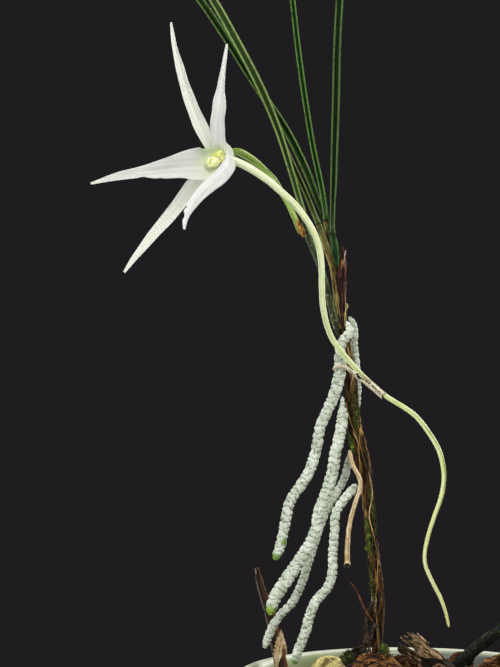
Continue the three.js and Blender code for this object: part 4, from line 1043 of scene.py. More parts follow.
deadRoots = {
    "deadRootHanging": {
        "node": "dead_root_hanging", "rings": 180, "spans": 26,
        "finish": deadRootFinish("deadRootTan", (0.14, 0.060, 0.020), (0.60, 0.43, 0.20), (0.95, 0.84, 0.58),
            (0.42, 0.20, 0.06)),
        "opening": [[0, 178], [1, 178]],
        "points": [[-15.5, -1.5, 137], [-14.6, -2.8, 133.4], [-13.1, -3.5, 130.3], [-12.8, -3.8, 127.7],
            [-13.9, -4.1, 124.7], [-15.3, -4.4, 119.9], [-16.1, -5, 114.2], [-16.3, -5.8, 107.7]],
        "radius": [[0, 0.42], [0.06, 0.5], [0.3, 0.55], [0.6, 0.58], [0.9, 0.62], [0.96, 0.78], [1, 0.84]],
        "wall": [[0, 0.35], [0.85, 0.5], [0.93, 0.3], [1, 0.2]], "tear": 0.3, "cut": 1.1,
    },
    "deadRootCrossing": {
        "node": "dead_root_crossing", "rings": 220, "spans": 26,
        "finish": deadRootFinish("deadRootPale", (0.10, 0.060, 0.030), (0.54, 0.46, 0.31),
            (0.90, 0.86, 0.69), (0.30, 0.20, 0.11)),
        "opening": [[0, 178], [0.42, 178], [0.47, 112], [0.54, 130], [0.6, 166], [0.86, 168], [0.92, 178],
            [1, 178]],
        "points": [[-19.7, -5.4, 157.6], [-19.2, -5.5, 158.3], [-18.2, -5.5, 158.6], [-16.8, -5.6, 158.4],
            [-15.6, -5.9, 157.6], [-14.7, -6.2, 156.9], [-13.7, -6.6, 156.3], [-12.7, -6.6, 155.7],
            [-10.4, -6.6, 153.8], [-8.7, -6.6, 152.3], [-6.8, -6.7, 150.8]],
        "radius": [[0, 0.35], [0.05, 0.45], [0.36, 0.5], [0.46, 0.86], [0.9, 0.86], [0.96, 0.95], [1, 1.02]],
        "wall": [[0, 0.35], [0.38, 0.4], [0.48, 0.2], [1, 0.15]], "tear": 0.5, "cut": 0.8,
    },
}


def hollowRoot(name, spec):
    # a dry shell: a strip bent round on itself, with its open edge to the front; solid where it is narrow
    route, spans = Route(spec["points"]), spec["spans"]
    t = np.linspace(0, 1, spec["rings"])[:, None]
    walk = t * route.length / mm
    radius = readStops(spec["radius"], t)
    wall = np.minimum(readStops(spec["wall"], t), 0.93 * radius)
    opening = readStops(spec["opening"], t, 0.01)
    ragged = 7 * np.sin(walk * 2.9) + 5 * np.sin(walk * 6.1 + 1)
    turn = np.radians((opening + ragged * (opening < 170)) * np.linspace(-1, 1, spans + 1))
    crinkle = 1 + 0.05 * np.sin(walk * 1.9 + 0.8 * np.sin(turn * 2)) + 0.035 * np.sin(turn * 5 + walk * 0.4)
    outer = polar(radius * crinkle, turn - circle / 4)
    inner = outer * (1 - wall / radius)[..., None]
    frayed = 0.5 * np.sin(turn[-1] * 3 + 1) + 0.3 * np.sin(turn[-1] * 7)
    torn = 0.6 * spec["tear"] * frayed - spec["cut"] * (0.5 - 0.5 * np.cos(turn[-1]))
    section = shellOf(outer, inner, np.clip((t - 0.955) / 0.045, 0, 1) * torn)
    around = twice(turn) / circle + 0.5
    # the dark layer marks the inner face, which the finish paints near black as the shade inside the shell
    layers = {"around": around, "along": t * route.length, "dark": np.repeat([[0, 0.94]], spans + 1, axis=1)}
    return swept(name, route.frame(t[:, 0], (0.05, -1, 0.25)), section, spec["finish"], layers, (around, t))


for name, spec in deadRoots.items():
    settle(hollowRoot(name, spec), "dry_tan", spec["node"])


# stem
def stemFinish():
    f = Finish("stemFibre", 0.85, Specular_IOR_Level=0.15)
    relief = f.layer("relief")
    loop = f.times(f.layer("around"), circle)
    wound = [f.times(f.maths(kind, loop), 2.4) for kind in ("COSINE", "SINE")]
    fibre = f.grain(0.5, 4.0, f.joined(*wound, f.times(f.layer("along"), 130.0)), 0.62, 0.5)
    f.body = f.ramp(fibre, [(0.38, (0.003, 0.002, 0.001)), (0.50, (0.012, 0.006, 0.002)),
                            (0.59, (0.075, 0.030, 0.008)), (0.70, (0.44, 0.23, 0.070))])
    # painted shade in the low places between the fibres, and a painted orange highlight on the raised ones
    f.coat((0.002, 0.0015, 0.001), relief, -0.20, 0.28, 1.0, 0.0)
    f.coat((0.26, 0.13, 0.045), relief, 0.42, 0.80, 0.0, 0.5)
    red = f.mix(f.span(fibre, 0.42, 0.66), (0.014, 0.006, 0.005), (0.12, 0.045, 0.032))
    f.coat(red, f.layer("height"), 0.158, 0.170, 0.0, 0.75)
    moss = f.mix(f.grain(0.0004), (0.040, 0.070, 0.006), (0.17, 0.24, 0.03))
    f.coat(moss, f.times(f.layer("mossy"), f.span(f.grain(0.0014, 4.0), 0.40, 0.56)))
    f.roughBy(fibre, 0.95, 0.65)
    return f.done(f.plus(fibre, f.grain(0.0003)), 0.0004, 0.9)


stem = {
    "points": [
        [-8.4, 0, 60], [-8.4, 0, 84], [-8.2, 0, 98.8], [-9.2, 0, 109], [-10.5, 0, 121.8], [-11.7, 0, 132],
        [-13, 0, 137.1], [-14, 0, 142.2], [-14.8, 0, 147.3], [-15.3, 0, 155], [-16.6, 0, 163.9],
        [-17.6, 0, 170.2], [-17.8, 0, 180.4], [-17.2, 0, 189.3]],
    "radius": [
        [0, 1.2], [0.18, 1.2], [0.3, 1.5], [0.42, 1.35], [0.53, 1.5], [0.55, 1.85], [0.62, 1.95],
        [0.66, 1.8], [0.68, 1.65], [0.76, 1.55], [0.82, 1.2], [0.87, 1.2], [0.88, 1.45], [0.96, 1.3],
        [1, 0.3]],
    "rings": 760, "sides": 76, "slim": 0.88, "fibreDepth": 0.26, "twist": 0.045, "soft": 0.012,
    "tipRings": 14,
    "mossBands": [  # height, reach and side: -1 left, 1 right
        (115, 6.5, -1), (136, 5, 1), (123, 6, 1), (101, 5, -1), (148, 5, 1), (85, 3, 1)],
}
stemRoute = Route(stem["points"])


def stemPiece():
    # a core of long fibres that wind slowly round it
    t = np.linspace(0, 1, stem["rings"])[:, None]
    angle = np.linspace(0, circle, stem["sides"], endpoint=False)
    walk = t * stemRoute.length / mm
    ways = polar(1.0, angle + stem["twist"] * walk).tolist()

    def lumps(across, along):
        return np.array([[noise.noise(Vector((across * x, across * y, along * height))) for x, y in ring]
                         for ring, height in zip(ways, walk[:, 0])])

    relief = 0.6 * (1 - 2.4 * np.abs(lumps(2.1, 0.06))) + 0.5 * lumps(1.1, 0.045) + 0.3 * lumps(5.5, 0.16)
    radius = readStops(stem["radius"], t, stem["soft"]) * stem["slim"]
    reach = radius * (1 + stem["fibreDepth"] * relief)
    reach[-stem["tipRings"]:] *= np.linspace(1, 0.3, stem["tipRings"])[:, None]
    rings, section = stemRoute.frame(t[:, 0]), polar(reach, angle) * mm
    verts = ringPoints(rings, section)
    out = (verts[..., 0] - rings[0][:, :1]) / (radius * mm)
    mossy = np.zeros_like(reach)
    for spot, width, way in stem["mossBands"]:
        level = np.exp(-(((verts[..., 2] / mm - spot) / width) ** 2))
        mossy = np.maximum(mossy, level * np.clip(0.45 + 0.75 * way * out, 0, 1))
    around = angle / circle
    layers = {"around": around, "along": t * stemRoute.length, "relief": relief, "mossy": mossy,
              "height": verts[..., 2]}
    return swept("stem", rings, section, stemFinish(), layers, (around, t))


stemCore = settle(stemPiece(), "stem", "stem")


def sheathFinish(name, dark, mid, light, edge):
    f = Finish(name, 0.8, Specular_IOR_Level=0.15)
    fibre = f.streaks(4.0, 0.6, 0.3, sideways=1.9, along=0.16, tone=31.0)
    f.body = f.ramp(fibre, [(0.40, dark), (0.50, mid), (0.58, light), (0.70, shade(light, 1.9))])
    # painted highlight: the edge colour along the torn sides and tip
    f.coat(edge, f.layer("rim"), 0.80, 0.97, 0.0, 0.85)
    f.coat(shade(dark, 0.6), f.layer("tone"), 0.0, 1.0, 0.5, 0.0)
    return f.done(fibre, 0.0004, 0.9)


# each look's last colour is its painted rim highlight
sheathLooks = {
    "brown": sheathFinish("sheathBrown", (0.003, 0.002, 0.001), (0.016, 0.007, 0.002), (0.17, 0.080, 0.020),
                          (0.62, 0.38, 0.13)),
    "red": sheathFinish("sheathRed", (0.006, 0.002, 0.002), (0.026, 0.008, 0.005), (0.085, 0.032, 0.024),
                        (0.50, 0.22, 0.08)),
    "pink": sheathFinish("sheathPink", (0.030, 0.010, 0.008), (0.11, 0.040, 0.025), (0.34, 0.15, 0.085),
                         (0.90, 0.72, 0.64)),
    "tan": sheathFinish("sheathTan", (0.10, 0.050, 0.020), (0.44, 0.26, 0.10), (0.80, 0.62, 0.36),
                        (0.86, 0.70, 0.45)),
    "fawn": sheathFinish("sheathFawn", (0.020, 0.014, 0.004), (0.19, 0.14, 0.035), (0.52, 0.40, 0.14),
                         (0.40, 0.34, 0.10)),
    "olive": sheathFinish("sheathOlive", (0.020, 0.028, 0.006), (0.16, 0.17, 0.025), (0.40, 0.38, 0.08),
                          (0.60, 0.56, 0.18)),
}
oldSheaths = {
    "rings": 60, "spans": 26, "thickness": 0.2, "seed": 6,
    "list": [  # look, foot along the stem, length, facing (90 front, 180 right, 0 left), half spread, lift
        ("red", 101.4, 24.4, 100, 150, 0.12), ("pink", 116, 12.2, 156, 72, 0.08),
        ("olive", 108, 6.6, 172, 46, 0.5), ("tan", 113, 3.6, 10, 40, 0.25),
        ("brown", 90, 20, 60, 120, 0.15), ("brown", 57, 25.5, 128, 100, 0.3),
        ("brown", 66, 24, 30, 80, 0.1), ("brown", 36, 26, 62, 95, 0.15), ("brown", 22, 27, 132, 90, 0.25),
        ("brown", 18, 20, 40, 80, 0.25), ("brown", 30, 26, 250, 95, 0.3), ("brown", 52, 24, 300, 90, 0.25),
        ("brown", 74, 24, 240, 100, 0.3), ("brown", 94, 22, 285, 90, 0.3), ("fawn", 106, 20, 12, 80, 1.5),
    ],
}


def sheathPiece(name, look, foot, length, facing, spread, lift, draws):
    # an old leaf sheath: it clasps the stem at its foot and ends above in a torn point
    total = stemRoute.length / mm
    u = np.linspace(0, 1, oldSheaths["rings"])[:, None]
    v = np.linspace(-1, 1, oldSheaths["spans"] + 1)
    t = np.minimum(foot + u * length, total) / total
    beyond = np.maximum(foot + u * length - total, 0)
    shift = draws.random() * 40
    lumps = lambda x, y, z: noise.noise(Vector((x, y, z)))
    tear = np.array([[lumps(way * 3 + shift, k * 7.0, 2) for way in (-1, 1)] for k in u[:, 0]])
    wide = np.radians(spread) * (1 - 0.93 * u**2.4) * (1 + 0.22 * np.where(v < 0, tear[:, :1], tear[:, 1:]))
    angle = math.radians(facing) + wide * v
    base = np.maximum(readStops(stem["radius"], t, stem["soft"]), 0.8)
    pleat = 0.05 * np.sin(angle * 17 + shift) + 0.04 * np.sin(angle * 31 + u * 3)
    reach = base * 0.97 + 0.06 + lift * u**2.5 + pleat + 0.10 * np.abs(v) ** 3 * u - 0.30 * (1 - u) ** 6
    frayed = np.array([lumps(k * 4.1, shift, 5) + 0.5 * lumps(k * 11.0, shift, 9) for k in v])
    slide = beyond + 1.3 * frayed * np.clip((u - 0.75) / 0.25, 0, 1)
    section = shellOf(polar(reach, angle), polar(reach - oldSheaths["thickness"], angle), slide)
    layers = {"along": u * length, "sideways": twice(reach * wide * v), "rim": twice(np.maximum(v**2, u**3)),
              "tone": 0.35 + 0.65 * draws.random()}
    return swept(name, stemRoute.frame(t[:, 0]), section, sheathLooks[look], layers)


draws = random.Random(oldSheaths["seed"])
for k, spec in enumerate(oldSheaths["list"]):
    settle(sheathPiece(f"oldSheath{k}", *spec, draws), "stem", "stem")


def buildStrandTree():
    # long fibres that lie on a path, each with its own start, end and winding
    b = Builder("strandsOnPath", {"Count": 24, "Strand radius": 0.0002, "Winding": 30.0, "Lift": 1.02,
                                  "Shortest": 0.1, "Longest": 0.4, "Seed": 1})
    given = b.given
    draw = lambda low, high, shift: b.draw(low, high, shift, "strand")
    line = b.keep(b.resampled(given[0], 0.0006), "thick", b.node("GeometryNodeInputRadius"))
    line = b.keep(line, "walked", b.node("GeometryNodeSplineParameter", out="Length"))
    feeds = {"Geometry": line, "Amount": given["Count"]}
    copies = b.add("GeometryNodeDuplicateElements", feeds, domain="SPLINE").outputs
    line = b.keep(copies[0], "strand", copies[1], "CURVE")
    wind = b.times(b.times(b.read("walked"), given["Winding"]), draw(-1.0, 1.4, 1))
    sway = b.times(b.maths("SINE", b.times(b.read("walked"), draw(250.0, 600.0, 8))), 0.35)
    angle = b.plus(b.plus(draw(0.0, circle, 2), wind), sway)
    normal = b.node("GeometryNodeInputNormal")
    across = b.vector("CROSS_PRODUCT", b.node("GeometryNodeInputTangent"), normal)
    ways = [b.scaled(way, b.maths(kind, angle)) for way, kind in ((normal, "COSINE"), (across, "SINE"))]
    reach = b.times(b.read("thick"), b.times(given["Lift"], draw(0.92, 1.12, 3)))
    line = b.keep(b.shifted(line, b.scaled(b.vector("ADD", *ways), reach)), "tone", draw(0.0, 1.0, 9))
    start = draw(0.16, 0.9, 4)
    end = b.plus(start, draw(given["Shortest"], given["Longest"], 5))
    line = b.node("GeometryNodeTrimCurve", {"Curve": line, 2: start, 3: end}, mode="FACTOR")
    line = b.resampled(line, 0.0005)
    rise = b.maths("SINE", b.times(b.node("GeometryNodeSplineParameter", out="Factor"), math.pi))
    width = b.times(b.maths("POWER", b.maths("MAXIMUM", rise, 0.02), 0.5), given["Strand radius"])
    line = b.keep(line, "width", b.times(width, draw(0.5, 1.5, 6)))
    return b.end(b.tube(line, b.ring(6), b.read("width")))


def strandFinish():
    f = Finish("strandFibre", 0.7, Specular_IOR_Level=0.35)
    streak = f.grain(0.0009, 3.0, f.stretched((1, 1, 0.25)))
    tone = f.plus(f.layer("tone"), f.times(f.maths("SUBTRACT", streak, 0.5), 0.7))
    f.body = f.ramp(tone, [(0.30, (0.003, 0.002, 0.001)), (0.62, (0.022, 0.010, 0.003)),
                           (0.82, (0.20, 0.10, 0.030)), (1.0, (0.62, 0.44, 0.22))])
    return f.done(streak, 0.0002, 0.6)


strandSizes = {"Count": 90, "Strand radius": 0.00011, "Winding": 36.0, "Lift": 1.05, "Shortest": 0.04,
               "Longest": 0.22, "Seed": 5}
stemCurve = pathCurve("strandPath", stemRoute, stem["radius"], 500, stem["soft"])
settle(runTree(stemCurve, buildStrandTree(), "stemFibres", strandSizes, strandFinish()), "stem", "stem")

stubs = {
    "points": [
        [[-8.9, -0.8, 99], [-10.4, -1.6, 96.5], [-11.2, -1.9, 92.5], [-11.3, -1.8, 88], [-12.2, -1.6, 84.5]],
        [[-8.8, 0.2, 97], [-10.3, 0.6, 94], [-11.7, 0.7, 90.6], [-11.4, 1, 87], [-11.8, 1.1, 83]],
        [[-8.6, -1, 93], [-9.9, -2.4, 90.5], [-10.6, -2.8, 87.4], [-10.3, -3.2, 84.5], [-10.6, -3.6, 81.5]]],
    "radius": [[0, 0.5], [0.3, 0.62], [0.5, 0.4], [0.75, 0.6], [1, 0.34]],
    "sizes": {
        "Step": 0.0002, "Sides": 18, "Ring pitch": 0.0013, "Ring depth": 0.55, "Lump size": 0.0012,
        "Lump depth": 1.5,
    },
}
stubDark = barkLikeFinish("stubDark", (0.006, 0.005, 0.004), (0.035, 0.022, 0.014), (0.17, 0.12, 0.065),
                          0.001)
parts = [tubePiece("stub", {**stubs, "points": points}, Seed=0.1 * i)
         for i, points in enumerate(stubs["points"])]
settle(fused("oldRootStubs", parts, 0.16, stubDark, 1), "stem", "stem")

spike = {
    "points": [[-9.6, -1.9, 93.5], [-11.4, -2.6, 96.4], [-12.6, -3, 99], [-14, -3.4, 102],
        [-15.4, -3.6, 103.8]],
    "radius": [[0, 0.32], [0.6, 0.24], [1, 0.13]],
    "sizes": {"Step": 0.0002, "Sides": 14, "Ribs": 3, "Rib depth": 0.15, "Twist": 300.0},
}
spikeBrown = barkLikeFinish("spikeBrown", (0.020, 0.007, 0.004), (0.12, 0.040, 0.020), (0.34, 0.14, 0.08),
                            0.0012)
settle(tubePiece("drySpike", spike, spikeBrown), "dry_brown", "dry_spike")
print("stage: dead roots and stem")


# pot
def glazeFinish():
    f = Finish("potGlaze", 0.4, Coat_Weight=0.06, Coat_Roughness=0.2)
    pool = f.grain(0.020, 2.0)
    height, bare = f.placeAlong("Z"), f.layer("bare")
    outer = f.mix(f.span(pool, 0.30, 0.70), (0.34, 0.40, 0.24), (0.46, 0.52, 0.35))
    # inside, the wall turns dark blue-grey towards +X: painted shadow on the inner wall
    inner = f.mix(f.span(f.placeAlong("X"), -0.030, 0.026), (0.40, 0.48, 0.26), (0.145, 0.165, 0.160))
    f.body = f.mix(f.layer("within"), outer, inner)
    # painted highlight: a pale line along the rim's top
    f.coat((0.68, 0.72, 0.58), height, 0.0791, 0.0799, 0.0, 0.8)
    f.coat((0.36, 0.43, 0.30), height, 0.004, 0.022, 0.5, 0.0)
    f.coat((0.34, 0.34, 0.27), f.grain(0.0011, 2.0), 0.68, 0.76, 0.0, 0.4)
    f.coat(f.mix(f.grain(0.0006), (0.42, 0.33, 0.25), (0.56, 0.46, 0.36)), bare)
    f.roughBy(f.maths("MAXIMUM", bare, f.span(pool, 0.2, 0.8, 0.0, 0.12)), 0.36, 0.85)
    return f.done(f.plus(pool, f.times(f.grain(0.0009, 2.0), 0.12)), 0.0006, 0.35)


potSpec = {
    "sides": 132, "ringPitch": 2.7, "ringDepth": 0.13, "drains": 4, "drainRadius": 2.6, "drainRing": 14,
    "profile": [[0, 0.8], [24.5, 0.8], [26, 0.15], [27, 0], [29.6, 0], [30.5, 0.35], [31.1, 1.4], [31.9, 6],
        [34.8, 22], [37.9, 40], [41.0, 58], [43.7, 73.2], [44.5, 75], [44.95, 76.6], [45, 78.3],
        [44.6, 79.4], [43.6, 80], [42.7, 79.6], [42.05, 78.5], [41.8, 76], [41.3, 73], [36.4, 46],
        [31.2, 17], [29.2, 8], [27.6, 5.2], [24, 4.3], [0, 4.2]],
}


def potPiece():
    # thrown on a wheel: faint turning rings outside, a rounded rim, a bare foot and four drain holes
    profile, sides = potSpec["profile"], potSpec["sides"]
    outline = []
    for (r0, z0), (r1, z1) in zip(profile, profile[1:]):
        steps = max(1, int(math.hypot(r1 - r0, z1 - z0) / 0.9))
        outline += [(r0 + (r1 - r0) * k / steps, z0 + (z1 - z0) * k / steps) for k in range(steps)]
    r, z = np.array(outline[1:]).T[..., None]
    count = len(r)
    wall = (z > 4) & (z < 72) & (r > 29)
    r = r + wall * potSpec["ringDepth"] * np.sin(circle * z / potSpec["ringPitch"] + 1.3 * np.sin(z * 0.31))
    angle = np.linspace(0, circle, sides, endpoint=False)
    sway = 1 + 0.0012 * np.sin(2 * angle + 0.6) + 0.0006 * np.sin(5 * angle)
    rings = polar(r * np.where(z > 2, sway, 1), angle)
    rings = np.concatenate([rings, np.broadcast_to(z[..., None], (count, sides, 1))], axis=-1).reshape(-1, 3)
    verts = np.vstack([rings, [[0, 0, profile[0][1]], [0, 0, profile[-1][1]]]])
    faces, last = ringFaces(count, sides, closed=False), (count - 1) * sides
    for j in range(sides):
        after = (j + 1) % sides
        faces += [(count * sides, after, j), (count * sides + 1, last + j, last + after)]
    x, y, height = verts.T
    bare = 1 / (1 + np.exp((height - 3.2 - 0.35 * np.sin(np.arctan2(y, x) * 7)) * 3))
    bare = np.where((np.hypot(x, y) < 29.0) & (height > 3.5), 0.35, bare)
    within = np.r_[np.repeat(np.arange(count) > np.argmax(z) + 1, sides), 0, 1]
    piece = makePiece("potBody", verts * mm, faces, glazeFinish(), {"bare": bare, "within": within})
    for k in range(potSpec["drains"]):
        turn, radius = circle * (k + 0.5) / potSpec["drains"], potSpec["drainRadius"] * mm
        spot = Vector((math.cos(turn), math.sin(turn), 0)) * potSpec["drainRing"] * mm + Vector((0, 0, 0.002))
        bm = bmesh.new()
        bmesh.ops.create_cone(bm, cap_ends=True, segments=40, radius1=radius, radius2=radius, depth=14 * mm,
                              matrix=Matrix.Translation(spot))
        cutter = placed("drain", meshFrom("drain", bm))
        applied(piece, "BOOLEAN", object=cutter, operation="DIFFERENCE", solver="EXACT")
        bpy.data.objects.remove(cutter)
    return piece


settle(potPiece(), "glaze", "pot")
print("stage: pot")


# bark: chunks, the split slab and the bed of chips
def chunkBarkFinish(name, dark, mid, light, fleck, moss=False, placeLayer=None, slope=0.0):
    f = Finish(name, 0.86, Specular_IOR_Level=0.18)
    if placeLayer:
        f.place = f.layer(placeLayer, "Vector")
    flow = f.stretched((0.35, 1.0, 2.4), place=f.stretched((1, 1, 1), (0, slope, 0)))
    fibre = f.grain(0.0010, 5.0, flow, 0.65)
    crust = f.grain(0.0005, 4.0, None, 0.6)
    f.body = f.ramp(f.grain(0.0030, 5.0, flow, 0.6, 0.8), [(0.40, dark), (0.50, mid), (0.62, light)])
    f.coat(light, fibre, 0.50, 0.64, 0.0, 0.7)
    f.coat(dark, fibre, 0.36, 0.47, 0.8, 0.0)
    seam = f.maths("ABSOLUTE", f.maths("SUBTRACT", f.grain(0.0026, 5.0, flow, 0.6, 0.6), 0.5))
    f.coat(shade(dark, 0.3), seam, 0.0, 0.035, 0.9, 0.0)
    f.coat(fleck, crust, 0.58, 0.68, 0.0, 0.7)
    f.coat(shade(blend(dark, mid), 0.7), f.layer("tone"), 0.0, 1.0, 0.55, 0.0)
    # painted shade: darker in the hollows that weather() and the slab mark
    f.coat(shade(dark, 0.4), f.layer("hollow"), 0.10, 0.55, 0.0, 0.93)
    if moss:
        green = f.mix(f.grain(0.0004), (0.030, 0.050, 0.010), (0.12, 0.17, 0.035))
        f.coat(green, f.plus(f.layer("mossy"), f.times(crust, 0.5)), 0.75, 0.95)
    f.roughBy(crust, 0.66, 0.95)
    return f.done(f.plus(f.times(fibre, 0.8), f.times(crust, 0.5)), 0.0006, 0.8)


orangeBark = chunkBarkFinish("orangeBark", (0.008, 0.003, 0.001), (0.052, 0.014, 0.003), (0.29, 0.115, 0.024),
                             (0.74, 0.48, 0.19))
slabBark = chunkBarkFinish("slabBark", (0.010, 0.006, 0.003), (0.33, 0.175, 0.072), (1.0, 0.73, 0.41),
                           (1.0, 0.86, 0.60), slope=-math.atan2(0.6, 0.8))
darkBark = chunkBarkFinish("darkBark", (0.008, 0.006, 0.006), (0.035, 0.024, 0.018), (0.13, 0.085, 0.055),
                           (0.40, 0.38, 0.34), moss=True)


def weather(piece, along, plate, depth, lump, shift):
    # bark tears in plates: steps in its thickness, with long grooves that follow the grain
    grain = Vector(along).normalized()
    across = grain.cross(Vector((0, 0.2, 1))).normalized()
    local = pointsOf(piece) / mm @ np.array([grain, across, grain.cross(across)]).T
    broad = roughness(local * [0.45, 1, 1], lump, 2, shift)
    groove = roughness(local * [0.18, 1, 1], 1.7, 3, shift + 7)
    fine = roughness(local, 0.7, 2, shift + 3)
    level = (broad * 1.6 + local[:, 2] * 0.35) / plate
    step = (np.floor(level) + np.clip((level % 1 - 0.72) / 0.28, 0, 1) - level) * plate
    # the hollow layer marks the deepest grooves and steps, where the bark finishes paint shade
    setLayer(piece, "hollow", np.clip(-(0.6 * groove + 0.5 * step + 0.25 * fine), 0, 1))
    return pushed(piece, (0.9 * broad + 0.55 * step + depth * groove + 0.12 * fine - 0.25) * mm)


def mossSpots(piece, spots):
    # moss grows round each spot, on faces that don't hang down
    co, up = pointsOf(piece) / mm, normalsOf(piece)[:, 2]
    share = np.zeros(len(co))
    for x, y, z, reach in spots:
        share = np.maximum(share, np.exp(-((np.linalg.norm(co - [x, y, z], axis=1) / reach) ** 2)))
    setLayer(piece, "mossy", share * np.clip(up + 0.7, 0, 1))


def buildScatterTree():
    # sets copies of a few small pieces on a surface, where its "share" layer allows
    b = Builder("scatterOnSurface", {"Spacing": 0.006, "Density": 90000.0, "Scale low": 0.8,
                                     "Scale high": 1.2, "Tilt": 0.4, "Lift": 0.0, "Seed": 1})
    given = b.given
    spots = b.add("GeometryNodeDistributePointsOnFaces", {
        "Mesh": given[0], "Distance Min": given["Spacing"], "Density Max": given["Density"],
        "Density Factor": b.read("share"), "Seed": given["Seed"]}, distribute_method="POISSON").outputs
    lean = [b.times(given["Tilt"], b.draw(-1.0, 1.0, shift)) for shift in (3, 4)] + [b.draw(0.0, circle, 5)]
    feeds = {"Rotation": spots["Rotation"], "Rotate By": b.joined(*lean)}
    turned = b.node("FunctionNodeRotateRotation", feeds, rotation_space="LOCAL")
    shapes = b.node("GeometryNodeCollectionInfo", {
        "Collection": given["Pieces"], "Separate Children": True, "Reset Children": True})
    lifted = b.shifted(spots["Points"], b.scaled(spots["Normal"], given["Lift"]))
    copies = b.node("GeometryNodeInstanceOnPoints", {
        "Points": lifted, "Instance": shapes, "Pick Instance": True, "Rotation": turned,
        "Scale": b.draw(given["Scale low"], given["Scale high"], 6)})
    return b.end(b.keep(copies, "tone", b.draw(0.0, 1.0, 7), "INSTANCE"))


scatterTree = buildScatterTree()


def scatter(host, name, pieces, sizes, material):
    # host carries a "share" layer from 0 to 1; the host itself stays as it is
    return runTree(placed(name + "Host", host.data.copy()), scatterTree, name, sizes, material, pieces)


def shelf(name, pieces):
    # a set of shapes to be copied; they leave the scene itself
    group = bpy.data.collections.new(name)
    for piece in pieces:
        scene.collection.objects.unlink(piece)
        group.objects.link(piece)
    return group


def clearShelf(group):
    for piece in list(group.objects):
        bpy.data.objects.remove(piece)
    bpy.data.collections.remove(group)


mossSprig = {"leaves": 6, "length": 0.62, "width": 0.20, "rise": 0.55}
mossSizes = {"Spacing": 0.00042, "Density": 6.0e6, "Scale low": 0.55, "Scale high": 1.25, "Tilt": 0.5,
             "Lift": 0.0, "Seed": 3}


def sprigPiece(name, turn, spread):
    # a tuft of bent pointed leaves
    verts, faces = [], []
    for k in range(mossSprig["leaves"]):
        a = turn + circle * k / mossSprig["leaves"] + 0.4 * math.sin(k * 5.1)
        out, over = Vector((math.cos(a), math.sin(a), 0)), Vector((-math.sin(a), math.cos(a), 0))
        share = 0.8 + 0.2 * math.sin(k * 2.3)
        base = len(verts)
        for reach, rise, half in ((0, -0.1, 0.4), (0.45, 0.75, 1.0), (1.0, 0.9, 0.06)):
            middle = out * mossSprig["length"] * share * reach * spread
            middle += Vector((0, 0, mossSprig["rise"] * rise * share))
            side = over * mossSprig["width"] / 2 * half
            verts += [(middle - side) * mm, (middle + side) * mm]
        faces += [(base, base + 1, base + 3, base + 2), (base + 2, base + 3, base + 5, base + 4)]
    return makePiece(name, verts, faces, None, {"tone": 0.0})


def mossFinish():
    f = Finish("mossGreen", 0.8, Specular_IOR_Level=0.15)
    body = f.ramp(f.layer("tone"), [(0.0, (0.022, 0.038, 0.005)), (0.5, (0.080, 0.130, 0.010)),
                                    (0.85, (0.19, 0.30, 0.022)), (1.0, (0.33, 0.42, 0.045))])
    f.body = f.mix(f.grain(0.0003, 2.0), body, (0.035, 0.050, 0.010))
    return f.done()


mossGreen = mossFinish()
sprigs = shelf("mossSprigs", [sprigPiece("sprigWide", 0.0, 1.0), sprigPiece("sprigTall", 0.5, 0.6)])


def growMoss(host, name, slotName, sizes=None):
    setLayer(host, "share", np.clip((layerOf(host, "mossy") - 0.25) / 0.35, 0, 1))
    settle(scatter(host, name, sprigs, {**mossSizes, **(sizes or {})}, mossGreen), slotName)


growMoss(stemCore, "stemMoss", "stem", {"Spacing": 0.00050})

